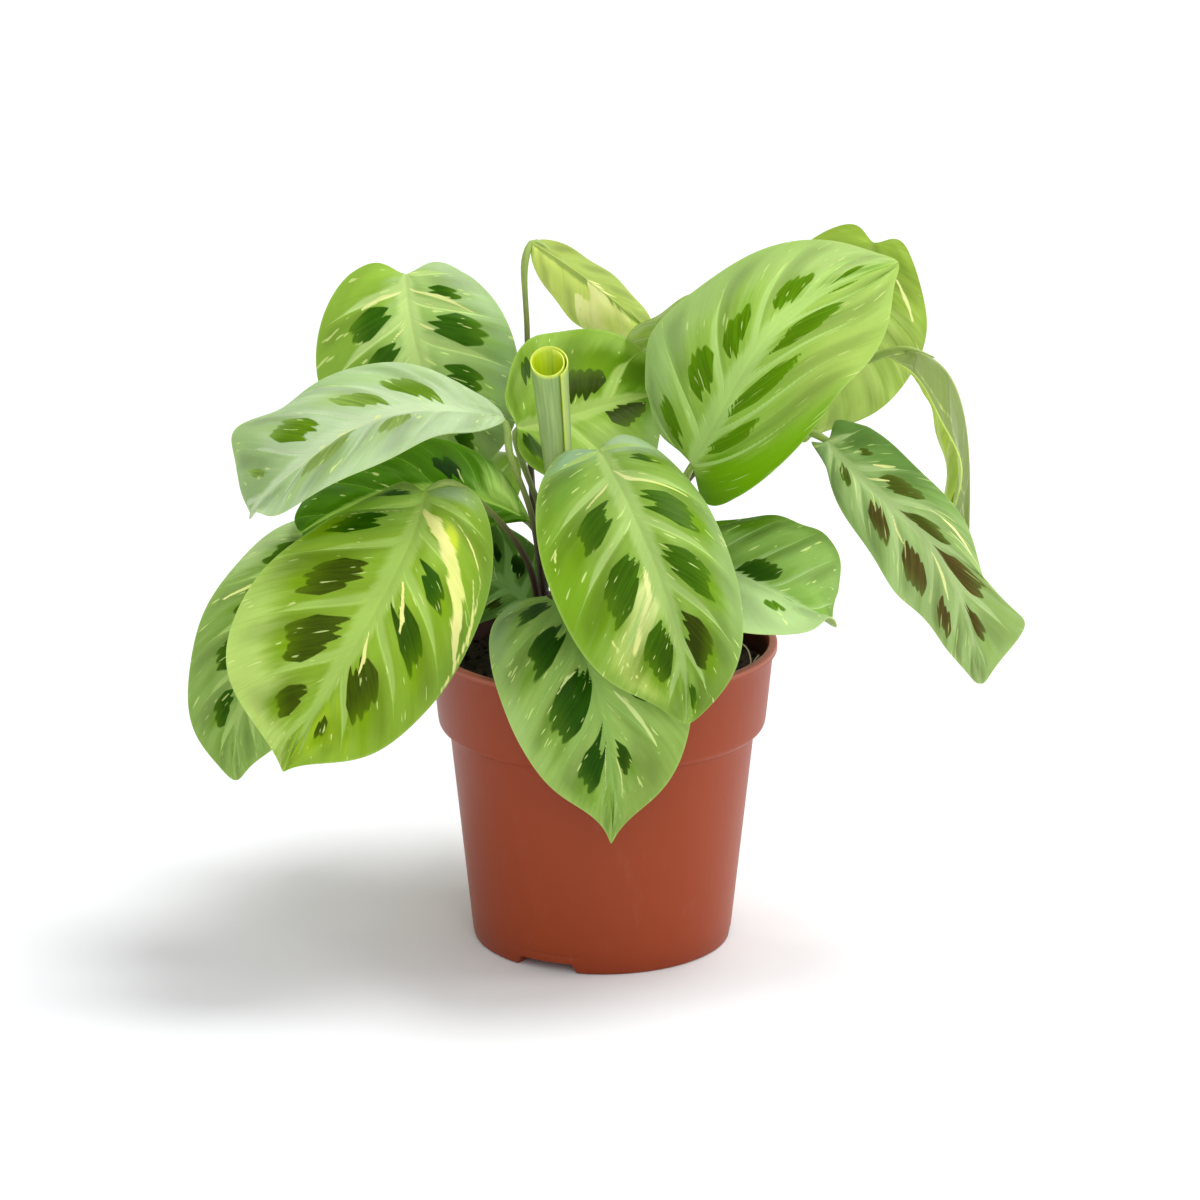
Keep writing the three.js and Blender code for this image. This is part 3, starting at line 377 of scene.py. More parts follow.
def upper_material(name, look):
    """The marked upper face of a leaf; its attributes say where on the leaf a point is."""
    g = Graph(name)
    own = {key: lit(tone(look[key], LEAF_GLOSS), look["gain"]) for key in
           ("pale", "green", "lime", "dark", "brown", "cream")}
    grain = g.attribute("grain")
    blotch, crisp, brown = g.fields("mark")
    pale, cream, lime = g.fields("zone")
    rib, gap, margin = g.fields("line")
    fade, scale, patch = g.fields("wash")
    vein = g.ramp(g.math("ABSOLUTE", gap), 0.55, 0.05)
    fingers = g.drawn(grain, 0.42, 0.06, detail=1.5)
    streaks = g.drawn(grain, 1.1, 0.07, shift=11)
    clouds = g.drawn(grain, 0.05, 0.05, shift=23, detail=3)
    brushed = g.drawn(grain, 0.25, 0.035, shift=41)
    ragged = g.plus(g.scaled(fingers, 1.0, -0.5), g.scaled(streaks, 0.5, -0.25))

    green = g.mix(g.ramp(brushed, 0.38, 0.66), own["green"], own["lime"])
    colour = g.mix(0.28, own["green"], green)
    mottle = g.plus(g.scaled(brushed, 0.5, -0.25), g.times(ragged, 0.8))
    # Patches: partly the leaf's own tones, partly painted sheen and painted light.
    colour = g.mix(g.ramp(g.plus(patch, mottle), 0.05, 0.85), colour, g.attribute("tint"))
    colour = g.mix(g.ramp(g.plus(lime, g.scaled(brushed, 0.9, -0.45)), 0.05, 0.95), colour, own["lime"])
    colour = g.mix(g.ramp(g.plus(pale, g.times(ragged, 0.45)), -0.12, 0.42), colour, own["pale"])
    colour = g.mix(g.times(vein, look["veins"]), colour, lit(own["pale"], 1.3))
    # Painted shade of the quilted panels: each panel is darkened just tipward of its vein.
    colour = g.tint(colour, g.scaled(scale, -0.27, 1.05))

    reach = g.plus(blotch, g.times(ragged, g.scaled(fade, 1.3, 0.8)))
    edge = g.times(reach, crisp, clamp=True)
    stripes = g.ramp(streaks, 0.36, 0.66)
    thin = g.times(fade, 0.3)
    deep = g.mix(g.times(stripes, 0.7), own["dark"], lit(own["dark"], 1.5))
    rust = g.mix(g.times(stripes, 0.8), own["brown"], lit(own["brown"], 1.5))
    deep, rust = g.mix(thin, deep, own["lime"]), g.mix(thin, rust, own["lime"])
    brown = g.ramp(g.plus(brown, g.scaled(brushed, 0.6, -0.3)), 0.15, 0.7)
    colour = g.mix(edge, colour, g.mix(brown, deep, rust))

    rich = g.times(g.plus(cream, g.times(ragged, 1.7)), 3.0, clamp=True)
    butter = g.mix(g.ramp(clouds, 0.5, 0.8), own["cream"], tone("ced874"))
    colour = g.mix(g.times(rich, 0.92), colour, butter)
    few = 0.05 * look["flecks"]
    flecks = g.ramp(g.drawn(grain, 0.75, 0.15, shift=37, detail=1), 0.735 - few, 0.785 - few)
    colour = g.mix(g.times(flecks, 0.65), colour, tone("cede8c"))
    colour = g.mix(g.times(rib, 0.6), colour, lit(own["pale"], 1.16))
    colour = g.mix(g.times(margin, 0.25), colour, tone("b2c878"))
    shade = g.plus(g.scaled(clouds, 0.5, 0.74), g.scaled(streaks, 0.14, -0.06))

    g.set(base_color=g.tint(colour, shade), roughness=g.scaled(clouds, 0.2, 0.33),
          subsurface_weight=0.12, subsurface_radius=LEAF_DEPTHS, subsurface_scale=0.0012,
          specular_ior_level=0.16, specular_tint=(0.8, 1.0, 0.35))
    height = g.plus(g.times(streaks, 0.4), g.times(vein, -1.0))
    g.bump(g.plus(height, g.times(brushed, 1.2)), 0.2, 0.6)
    return g.material


def under_material(name, look):
    """The plainer, greyer underside, with its raised veins."""
    g = Graph(name)
    grain = g.attribute("grain")
    blotch = g.fields("mark")[0]
    cream = g.fields("zone")[1]
    rib, gap, margin = g.fields("line")
    vein = g.ramp(g.math("ABSOLUTE", gap), 0.7, 0.05)
    streaks = g.drawn(grain, 1.3, 0.07, shift=5)
    clouds = g.drawn(grain, 0.07, 0.07, shift=17, detail=3)
    base = tone(look["under"])
    colour = g.mix(clouds, lit(base, 0.8), lit(base, 1.15))
    rich = g.times(g.plus(cream, g.scaled(streaks, 1.2, -0.6)), 3.0, clamp=True)
    colour = g.mix(g.times(rich, 0.8), colour, tone(look["cream"]))
    shadow = g.times(g.plus(blotch, g.scaled(streaks, 0.8, -0.4)), 1.2, clamp=True)
    colour = g.mix(g.times(shadow, 0.35), colour, lit(base, 0.55))
    colour = g.mix(g.times(vein, 0.55), colour, lit(base, 0.6))
    colour = g.mix(g.times(rib, 0.8), colour, tone("b2c076"))
    colour = g.mix(g.times(margin, 0.6), colour, tone("c4d46e"))
    g.set(base_color=g.tint(colour, g.scaled(streaks, 0.3, 0.85)),
          roughness=g.scaled(clouds, 0.14, 0.42), subsurface_weight=0.15,
          subsurface_radius=LEAF_DEPTHS, subsurface_scale=0.0016, sheen_weight=0.1)
    g.bump(g.plus(g.times(streaks, 0.5), vein), 0.2, 0.6)
    return g.material


def stalk_material():
    """Petioles and stem: dark and purplish at the crown, olive green towards the leaf."""
    g = Graph("stalk")
    grain = g.attribute("grain")
    low, high, _ = g.fields("zone")
    streaks = g.drawn(grain, 0.12, 3.0)
    clouds = g.drawn(grain, 0.25, 0.8, shift=9)
    colour = g.mix(high, tone("544a26"), tone("96ae58"))
    colour = g.mix(low, colour, tone("361e1a"))
    colour = g.tint(colour, g.plus(g.scaled(streaks, 0.5, 0.5), g.times(clouds, 0.5)))
    g.set(base_color=colour, roughness=g.scaled(clouds, 0.2, 0.35), subsurface_weight=0.06,
          subsurface_radius=(0.5, 0.9, 0.2), subsurface_scale=0.001)
    g.bump(g.plus(streaks, clouds), 0.12, 0.5)
    return g.material


def roll_material(name, inside):
    """The rolled young leaf, yellow within and grey-green without."""
    g = Graph(name)
    grain = g.attribute("grain")
    lip, overlap, height = g.fields("zone")
    streaks = g.drawn(grain, 0.05, 1.1)
    clouds = g.drawn(grain, 0.05, 0.3, shift=5)
    if inside:
        colour = g.mix(streaks, tone("a0bc0e"), tone("d0e22c"))
    else:
        colour = g.mix(streaks, tone("6e8e4c"), tone("aac07a"))
        colour = g.mix(g.ramp(height, 0.0, 0.5), tone("96b060"), colour)
        colour = g.mix(g.times(overlap, 0.8), colour, tone("cedc82"))
    colour = g.mix(lip, colour, tone("d8e65c"))
    g.set(base_color=g.tint(colour, g.scaled(clouds, 0.4, 0.8)), roughness=0.4,
          subsurface_weight=0.15, subsurface_radius=LEAF_DEPTHS, subsurface_scale=0.0016)
    g.bump(streaks, 0.2, 0.6)
    return g.material


def pot_material():
    """Injection-moulded terracotta-coloured plastic with fine grain, flow and scuffs, with a painted
    highlight along the top of the lip and painted shade on the inner wall above the soil.
    """
    g = Graph("pot_plastic")
    place = g.place()
    x, y, z = g.split(place)
    grain = g.noise(place, 2600, 3)
    flow = g.drawn(place, 30, 30, 6, detail=3)
    dust = g.drawn(place, 160, 160, 60, 3, 4, 0.65)
    scuff = g.drawn(place, 900, 900, 90, 7, 3)
    colour = g.mix(flow, tone("883a1a"), tone("944120"))
    colour = g.mix(g.times(g.ramp(dust, 0.56, 0.74), 0.07), colour, tone("b07058"))
    colour = g.mix(g.times(g.ramp(z, 0.012, 0.0), 0.25), colour, tone("70301a"))
    # Painted highlight: the top of the lip is made lighter and pinker.
    colour = g.mix(g.times(g.ramp(z, 0.1035, 0.1055), 0.5), colour, tone("be7864"))
    colour = g.mix(g.times(g.ramp(scuff, 0.7, 0.78), 0.12), colour, tone("ba7054"))
    # Painted shade: the inner wall from the soil up to just under the rim is darkened nearly to black, with
    # a ragged top edge.
    reach = g.math("SQRT", g.plus(g.times(x, x), g.times(y, y)))
    inner = g.math("SUBTRACT", reach, g.scaled(z, 0.0889, 0.0478))
    painted_inner_shade = g.times(g.ramp(inner, 0.0008, 0.0004), g.ramp(z, 0.085, 0.087))
    painted_inner_shade = g.times(painted_inner_shade, g.ramp(g.plus(z, g.times(dust, 0.004)), 0.1065, 0.1035))
    colour = g.mix(g.times(painted_inner_shade, 0.85), colour, tone("281b16"))
    g.set(base_color=colour, roughness=g.plus(g.scaled(dust, 0.12, 0.34), g.times(grain, 0.05)),
          specular_ior_level=0.3)
    g.bump(g.plus(g.times(grain, 0.4), g.times(dust, 0.6)), 0.04, 0.5)
    return g.material


def soil_material():
    """Moist peat: nearly black with brown fibres and specks."""
    g = Graph("soil_peat")
    place = g.place()
    fine = g.noise(place, 900, 4, 0.7)
    coarse = g.noise(place, 220, 3)
    fibre = g.drawn(place, 260, 1500, 600)
    colour = g.mix(fine, tone("0e0a08"), tone("342820"))
    colour = g.mix(g.ramp(coarse, 0.45, 0.7), colour, tone("423024"))
    colour = g.mix(g.ramp(fibre, 0.7, 0.76), colour, tone("70543c"))
    g.set(base_color=colour, roughness=g.scaled(fine, 0.2, 0.75))
    g.bump(g.plus(fine, coarse), 0.9)
    return g.material


def plain_material(name, scale, low, high, roughness):
    g = Graph(name)
    g.set(base_color=g.mix(g.noise(g.place(), scale), low, high), roughness=roughness)
    return g.material


# Curves and meshes

def unit(v):
    return v / np.maximum(np.linalg.norm(v, axis=-1, keepdims=True), 1e-12)


def ease(value, low, high):
    u = np.clip((value - low) / (high - low), 0, 1)
    return u * u * (3 - 2 * u)


def by_side(t, pair):
    """The first of a pair for points on the side where t is below zero, else the second."""
    return np.where(np.less(t, 0), *pair)


def shares(row):
    return [v / 100 for v in row]


def ways(points):
    """How far along a line each of its points lies."""
    return np.concatenate([[0], np.cumsum(np.linalg.norm(np.diff(points, axis=0), axis=1))])


def sample(at, way, points):
    return np.stack([np.interp(at, way, points[:, k]) for k in range(3)], -1)


def catmull(points, samples):
    """A centripetal Catmull-Rom curve through the points, sampled evenly along its way."""
    p = [np.array(q, float) for q in points]
    p = [2 * p[0] - p[1]] + p + [2 * p[-1] - p[-2]]
    dense = []
    for k in range(1, len(p) - 2):
        d = [max(np.linalg.norm(p[k + n] - p[k + n - 1]), 1e-4) ** 0.5 for n in range(3)]
        start = (p[k] - p[k - 1]) / d[0] - (p[k + 1] - p[k - 1]) / (d[0] + d[1])
        start = (start + (p[k + 1] - p[k]) / d[1]) * d[1]
        end = (p[k + 1] - p[k]) / d[1] - (p[k + 2] - p[k]) / (d[1] + d[2])
        end = (end + (p[k + 2] - p[k + 1]) / d[2]) * d[1]
        u = np.linspace(0, 1, 40, endpoint=k == len(p) - 3)[:, None]
        dense.append((2 * u ** 3 - 3 * u ** 2 + 1) * p[k] + (u ** 3 - 2 * u ** 2 + u) * start
                     + (3 * u ** 2 - 2 * u ** 3) * p[k + 1] + (u ** 3 - u ** 2) * end)
    dense = np.concatenate(dense)
    way = ways(dense)
    return sample(np.linspace(0, way[-1], samples), way, dense), way[-1]


def new_mesh(name, points, faces, materials=()):
    mesh = bpy.data.meshes.new(name)
    mesh.from_pydata((np.asarray(points, float) * MM).tolist(), [], faces)
    for material in materials:
        mesh.materials.append(material)
    return mesh


def new_object(name, data):
    item = bpy.data.objects.new(name, data)
    bpy.context.scene.collection.objects.link(item)
    return item


def finish_piece(name, mesh, replaced=None, sharp=55):
    mesh.polygons.foreach_set("use_smooth", [True] * len(mesh.polygons))
    mesh.set_sharp_from_angle(angle=math.radians(sharp))
    mesh.update()
    piece = new_object(name, mesh)
    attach(piece, "root")
    if replaced:
        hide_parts(replaced)


class Body:
    """Vertices, faces, materials and attributes gathered for one mesh."""

    def __init__(self):
        self.points, self.faces, self.kinds = [], [], []
        self.values = {name: [] for name in ("grain", "mark", "zone", "line", "wash", "tint")}
        self.count = 0

    def add(self, points, faces, kinds, **values):
        points = np.asarray(points, float).reshape(-1, 3)
        self.points.append(points)
        self.faces += [tuple(k + self.count for k in face) for face in faces]
        self.kinds += list(kinds)
        for name, store in self.values.items():
            store.append(np.asarray(values.get(name, 0 * points), float).reshape(-1, 3))
        self.count += len(points)

    def piece(self, name, materials, slot, replaced=None):
        mesh = new_mesh(name, np.concatenate(self.points), self.faces, materials)
        mesh.polygons.foreach_set("material_index", self.kinds)
        for key, store in self.values.items():
            layer = mesh.attributes.new(key, "FLOAT_VECTOR", "POINT")
            layer.data.foreach_set("vector", np.concatenate(store).ravel())
        mesh.validate()
        finish_piece(name, mesh, replaced)


def ring_faces(rings, sides, first=0):
    """Faces between rings of points that follow one another."""
    around = [(first + n, first + (n + 1) % sides) for n in range(sides)]
    return [(a + up, b + up, b + up + sides, a + up + sides)
            for up in range(0, (rings - 1) * sides, sides) for a, b in around]


def end_faces(rings, sides, low, high, first=0):
    """Fans of faces from the points low and high that close the first and last ring."""
    around = [(first + n, first + (n + 1) % sides) for n in range(sides)]
    last = (rings - 1) * sides
    return [(low, b, a) for a, b in around] + [(high, a + last, b + last) for a, b in around]


def add_tube(body, path, radius, kind, seed, low=0.0, high=0.0, sides=14):
    """A closed round tube along a path, turned by carrying one frame along it."""
    tangent = unit(np.gradient(path, axis=0))
    normal = unit(np.cross(tangent[0], [0.3, 1.0, 0.2]))
    turn = np.linspace(0, 2 * np.pi, sides, endpoint=False)
    cos, sin = np.cos(turn), np.sin(turn)
    points, grain = [], []
    for centre, direction, thick, way in zip(path, tangent, radius, ways(path)):
        normal = unit(normal - direction * (normal @ direction))
        other = np.cross(direction, normal)
        points.append(centre + thick * (np.outer(cos, normal) + np.outer(sin, other)))
        grain.append(np.stack([0 * turn + way, cos * 1.5, seed + sin], -1))
    last = (len(path) - 1) * sides
    faces = ring_faces(len(path), sides)
    faces += [tuple(range(sides))[::-1], tuple(range(last, last + sides))]
    zone = np.stack([low + 0 * radius, high + 0 * radius, 0 * radius], -1)
    body.add(points, faces, [kind] * len(faces), grain=grain, zone=np.repeat(zone, sides, axis=0))


def add_sheet(body, grid, above, below, kinds, flip, poles, **values):
    """A closed thin sheet on a grid of points; with poles, its end rows are single points."""
    rows, columns = grid.shape[:2]
    down, side = np.gradient(grid, axis=0), np.gradient(grid, axis=1)
    side[0], side[-1] = side[1], side[-2]
    normals = unit(np.cross(down, side)) * (-1 if flip else 1)
    keep = np.ones((rows, columns), bool)
    if poles:
        normals[0], normals[-1] = normals[1, columns // 2], normals[-2, columns // 2]
        keep[0, 1:] = keep[-1, 1:] = False
    ids = (np.cumsum(keep.ravel()) - 1).reshape(rows, columns).tolist()
    count = int(keep.sum())
    points = [(grid + normals * above[..., None])[keep], (grid - normals * below[..., None])[keep]]
    faces, kind = [], []

    def put(corners, which):
        corners = [c for k, c in enumerate(corners) if c != corners[k - 1]]
        if len(corners) > 2:
            faces.append(corners[::-1] if flip else corners)
            kind.append(which)

    for i in range(rows - 1):
        for j in range(columns - 1):
            a, b, c, d = ids[i][j], ids[i + 1][j], ids[i + 1][j + 1], ids[i][j + 1]
            put((a, b, c, d), kinds[0])
            put((d + count, c + count, b + count, a + count), kinds[1])
    loop = [row[0] for row in ids] + ids[-1][1:] + [row[-1] for row in ids[-2::-1]] + ids[0][-2:0:-1]
    for a, b in zip(loop, loop[1:] + loop[:1]):
        if a != b:
            put((a, a + count, b + count, b), kinds[0])
    doubled = {key: np.concatenate([value[keep]] * 2) for key, value in values.items()}
    body.add(np.concatenate(points), faces, kind, **doubled)


# Leaves

class Midrib:
    """The smooth curve through the midrib's four points, straight beyond its ends."""

    def __init__(self, points):
        s = np.linspace(0, 1, 193)[:, None]
        knots = (0, 1 / 3, 2 / 3, 1)
        self.points = np.zeros((193, 3))
        for k, knot in enumerate(knots):
            weight = np.ones_like(s)
            for other in knots[:k] + knots[k + 1:]:
                weight = weight * (s - other) / (knot - other)
            self.points += weight * np.array(points[k], float)
        self.way = ways(self.points)
        self.length = self.way[-1]
        self.tangents = unit(np.gradient(self.points, axis=0))

    def at(self, y):
        tangent = unit(sample(y, self.way, self.tangents))
        over = np.minimum(y, 0) + np.maximum(y - self.length, 0)
        return sample(y, self.way, self.points) + over[..., None] * tangent, tangent


def blade_surface(leaf, rib, s, t, relief):
    """The middle of the blade at s, base to tip by vein, and t, across from -1 to 1."""
    shape = {**LEAF, **leaf}
    length = rib.length
    half = by_side(t, shape["half"])
    phi = np.clip(np.pi * s ** 0.7, 1e-9, np.pi - 1e-9)
    to_tip = np.pi - phi
    power = shape["power"][0] * (1 - s) + shape["power"][1] * s
    narrow = 1 - (1 - shape["blunt"]) * np.exp(-((to_tip / 0.42) ** 2))
    margin_x = half * np.sin(phi) ** power * (1 + by_side(t, shape["fat"]) * np.cos(phi)) * narrow
    tip = shape["tip"] * length
    early = phi / 0.3
    margin_y = (length - tip) * (1 - np.cos(phi)) / 2 + tip * np.exp(-((to_tip / 0.3) ** 2))
    margin_y = margin_y - shape["lobe"] * length * (early * np.exp(1 - early)) ** 2
    rib_y = length * s ** 1.2
    a = np.abs(t)
    bend_x, bend_y = 0.55 * margin_x, rib_y + 0.25 * (margin_y - rib_y)
    x = 2 * a * (1 - a) * bend_x + a * a * margin_x
    y = (1 - a) ** 2 * rib_y + 2 * a * (1 - a) * bend_y + a * a * margin_y

    centre, tangent = rib.at(y)
    along = np.clip(y / length, 0, 1)[..., None]
    face = unit(np.array(shape["face"], float))
    face_tip = unit(np.array(shape.get("face_tip", shape["face"]), float))
    across = unit(np.cross(tangent, unit(face * (1 - along) + face_tip * along)))
    up = np.cross(across, tangent)
    cup, curl = np.radians(by_side(t, shape["cup"])), np.radians(by_side(t, shape["curl"]))
    out = x / half
    height, count, phase = shape["wave"]
    u = half * (np.sin(cup + curl * out) - np.sin(cup)) / curl
    v = half * (np.cos(cup) - np.cos(cup + curl * out)) / curl
    v = v + height * out ** 2 * np.sin(2 * np.pi * (count * y / length + phase + 0.4 * (t < 0)))
    point = centre + across * (u * np.sign(t))[..., None] + up * (v + relief)[..., None]
    for at, edge, reach, *move in shape["push"]:
        near = np.exp(-((s - at) / reach) ** 2) * np.minimum(1, 12 * s * (1 - s))
        near = near * np.where(t * edge > 0, t * t, 0)
        point = point + near[..., None] * np.array(move, float)
    return point, x


def add_stalk(body, leaf, seed, kind, width=1.0):
    points = [np.array(p, float) for p in leaf["stalk"]]
    if "rib" in leaf:
        rib = Midrib(leaf["rib"])
        down = -unit(np.array(leaf["face"], float))
        points = [rib.at(np.array(10.0))[0] + 1.3 * down, rib.at(np.array(0.0))[0] + 1.4 * down] + points
    if "root" in leaf:
        points += rooted(leaf)
    path, length = catmull(points, max(24, int(ways(points)[-1] / 2.2)))
    u = np.linspace(0, 1, len(path))
    knee = STALK["knee_at"] / length
    radius = STALK["radius"] + STALK["foot"] * u * u
    radius = radius + STALK["knee"] * np.exp(-(((u - knee) / (0.45 * knee)) ** 2))
    radius = np.maximum(width * radius * ease(u * length, -4, 9), 0.15)
    low = ease(path[:, 2], 172, 120) if "root" in leaf else 0.0
    add_tube(body, path, radius, kind, seed, low, 1 - ease(u * length, 12, 60))


def rooted(plant):
    x, y = plant["root"]
    return [np.array([x, y, SOIL_LEVEL + 5.0]), np.array([x, y, SOIL_LEVEL - STALK["rooted"]])]


def leaf_marks(look, seed):
    """The blotches of a leaf, or made-up ones where the photograph shows none."""
    if look["marks"] or look["plain"]:
        return [shares((*mark, 0)[:5]) for mark in look["marks"]]
    rng = np.random.default_rng(seed)
    marks = []
    for side in (-1, 1):
        for s in (0.2, 0.37, 0.55, 0.72):
            marks.append((s + 0.02 * side + rng.uniform(-0.012, 0.012), side * rng.uniform(0.34, 0.44),
                          rng.uniform(0.045, 0.062), rng.uniform(0.17, 0.22), rng.uniform(0, 0.4)))
    return marks


def vein_places(marks, side, skew):
    """Main veins run between the blotches of one half of the leaf."""
    centres = sorted(vein_way(m[0], abs(m[1]), skew) for m in marks if m[1] * side > 0)
    if len(centres) < 2:
        centres = [0.2, 0.4, 0.6, 0.8]
    gap = (centres[-1] - centres[0]) / (len(centres) - 1)
    middles = [(a + b) / 2 for a, b in zip(centres, centres[1:])]
    middles = [centres[0] - gap / 2] + middles + [centres[-1] + gap / 2]
    while middles[0] - gap > 0.02:
        middles.insert(0, middles[0] - gap)
    while middles[-1] + gap * 0.8 < 0.97:
        middles.append(middles[-1] + gap * 0.8)
    return np.array(middles)


def blotch_field(q, r, high, wide, rng):
    """How many millimetres inside a blotch a point lies. A blotch is a few brush strokes side by
    side, pointed at the midrib; q goes across them and r along them, both from -1 to 1."""
    strokes = int(np.clip(round(2 * high / 3.6), 2, 4))
    field = np.full(q.shape, -3.0)
    for k in range(strokes):
        centre = (2 * (k + 0.5) / strokes - 1) * 0.72
        start, end = rng.uniform(-1.25, -0.7), rng.uniform(0.85, 1.25)
        inner = np.clip((r - start) / (0.1 - start), 0, 1) ** 0.7
        outer = np.clip((end - r) / (end - 0.1), 0, 1) ** 0.5
        breadth = (1 / strokes + 0.17) * rng.uniform(0.9, 1.12) * inner * outer
        beyond = np.maximum(np.maximum(start - r, r - end), 0) * wide
        field = np.maximum(field, (breadth - np.abs(q - centre)) * high - beyond)
    return field


def vein_way(s, a, skew):
    """Which vein runs through a point: veins leave the midrib steeply, then bend outwards."""
    return s - skew * a + 0.055 * np.exp(-a / 0.1)


def vein_wave(way, places):
    """Where between two veins a point lies, and a wave that passes through zero at every vein
    with the slope of the way itself, up and down by turns."""
    k = np.clip(np.searchsorted(places, way) - 1, 0, len(places) - 2)
    step = places[k + 1] - places[k]
    between = np.clip((way - places[k]) / step, -0.5, 1.5)
    return between, np.sin(np.pi * between) * step / np.pi * (1 - 2 * (k % 2))


def markings(look, s, t, length, half, seed):
    """Fields over the leaf for the blotches, streaks, veins and patches, and for the painted shade of the
    quilted panels.
    """
    marks = leaf_marks(look, seed)
    rng = np.random.default_rng(100 + seed)
    a = np.abs(t)
    zero = np.zeros(s.shape)
    way = vein_way(s, a, by_side(t, look["skew"]))
    blotch, crisp, brown, fade, halo = zero - 3, zero + 3, zero, zero, zero
    for place, across, long, wide, rust in marks:
        q = (way - vein_way(place, abs(across), by_side(across, look["skew"]))) / long
        r = (a - abs(across)) / wide
        own = t * across > 0
        field = np.where(own, blotch_field(q, r, long * length, wide * half, rng), -3)
        nearer = field > blotch
        blotch = np.where(nearer, field, blotch)
        crisp = np.where(nearer, 2.6 - 1.4 * ease(r, 0.3, 1.1), crisp)
        brown = np.where(nearer, rust, brown)
        fade = np.where(nearer, ease(r, 0.0, 1.1), fade)
        halo = np.maximum(halo, np.exp(-(q / 1.25) ** 2 - ((r - 0.9) / 1.1) ** 2) * own)
    feather, scale, wave = zero - 1, zero, zero
    for side in (-1, 1):
        own = t >= 0 if side > 0 else t < 0
        places = vein_places(marks, side, by_side(side, look["skew"]))
        for place in places:
            gap = np.where(own, (way - place) * length, 9.0)
            width = np.where(gap < 0, 1.0 + 3.8 * (1 - a) ** 1.5, 0.4 + 0.8 * (1 - a))
            feather = np.maximum(feather, 1 - np.abs(gap) / width - 1.6 * ease(a, 0.5, 0.95))
        between, ripple = vein_wave(way, places)
        wave = np.where(own, ripple * length, wave)
        # Painted shade: on each panel between two veins, the half just tipward of a vein is darkened, as a
        # quilted panel shades itself.
        scale = np.where(own, np.maximum(np.sin(2 * np.pi * between), 0), scale)
    strength = ease(a, 0.02, 0.1) * (1 - ease(a, 0.6, 0.98)) * look["feather"]
    gap = np.clip(wave / np.maximum(strength, 0.02), -9, 9)
    pale = np.maximum((by_side(t, look["band"]) - a) / 0.14, look["feather"] * (feather + 1) - 1)
    scale = scale * ease(a, 0.2, 0.5) * (1 - ease(a, 0.8, 1))

    def spot(place, across, lean):
        return np.array([vein_way(place, abs(across), lean) * length, across * half.mean()])

    cream = zero - 2
    here = np.stack([way * length, t * half], -1)
    for strength, line in look["streaks"]:
        line = [(*shares((s0, t0)), w0) for s0, t0, w0 in line]
        for (s0, t0, w0), (s1, t1, w1) in zip(line, line[1:]):
            lean = by_side(t0 + t1, look["skew"])
            start, end = spot(s0, t0, lean), spot(s1, t1, lean)
            step = end - start
            u = np.clip(((here - start) @ step) / (step @ step), 0, 1)
            off = np.linalg.norm(here - start - u[..., None] * step, axis=-1)
            cream = np.maximum(cream, strength - off / (w0 + (w1 - w0) * u))
    # Patches: some are the leaf's own tone, others are painted sheen and painted light on parts in shade.
    patch, tint = zero, np.zeros(s.shape + (3,))
    for *numbers, code in look["patches"]:
        place, across, long, wide, strength = shares(numbers)
        near = np.exp(-((s - place) / long) ** 2 - ((a - abs(across)) / wide) ** 2)
        near = strength * near * ease(t * np.sign(across), -0.05, 0.1)
        tint = tint + near[..., None] * np.array(lit(tone(code, LEAF_GLOSS), look["gain"]))
        patch = patch + near
    tint = tint / np.maximum(patch, 1e-6)[..., None]
    fields = {"grain": (way * length, t * half, zero + 7.3 * seed), "mark": (blotch, crisp, brown),
              "zone": (np.clip(pale, -1.5, 1.5), cream, look["limes"] * halo),
              "wash": (fade, scale, np.minimum(patch, 1))}
    fields = {name: np.stack(field, -1) for name, field in fields.items()}
    return {**fields, "tint": tint}, gap, np.abs(wave)


def add_blade(body, leaf, look, seed, rows, columns):
    rib = Midrib(leaf["rib"])
    k = np.linspace(0, 1, columns + 1) ** 1.2
    s, t = np.meshgrid(np.linspace(0, 1, rows + 1) ** 1.25, np.concatenate([-k[:0:-1], k]), indexing="ij")
    half = by_side(t, leaf["half"]).astype(float)
    a = np.abs(t)
    fields, gap, distance = markings(look, s, t, rib.length, half, seed)
    ends = ease(s, 0, 0.08) * (1 - ease(s, 0.9, 1))
    puff = (1 - np.exp(-(distance / 2.6) ** 2)) * ease(a, 0.02, 0.25)
    puff = look["quilt"] * puff * (1 - ease(a, 0.7, 1)) * ends
    grid, lateral = blade_surface(leaf, rib, s, t, puff)
    groove = np.exp(-(lateral / BLADE["groove_width"]) ** 2) * ends * (1 - 0.6 * s)
    keel = np.exp(-(lateral / BLADE["keel_width"]) ** 2) * (1 - 0.75 * s) * ease(s, 0, 0.04)
    edge = np.clip(1 - (1 - a) * half * 1.8, 0, 1)
    centre = np.exp(-(lateral / (0.6 - 0.3 * s)) ** 2)
    fields["line"] = np.stack([centre, gap, edge], -1)
    add_sheet(body, grid, BLADE["half"] - BLADE["groove"] * groove, BLADE["half"] + BLADE["keel"] * keel,
              (0, 1), True, True, **fields)


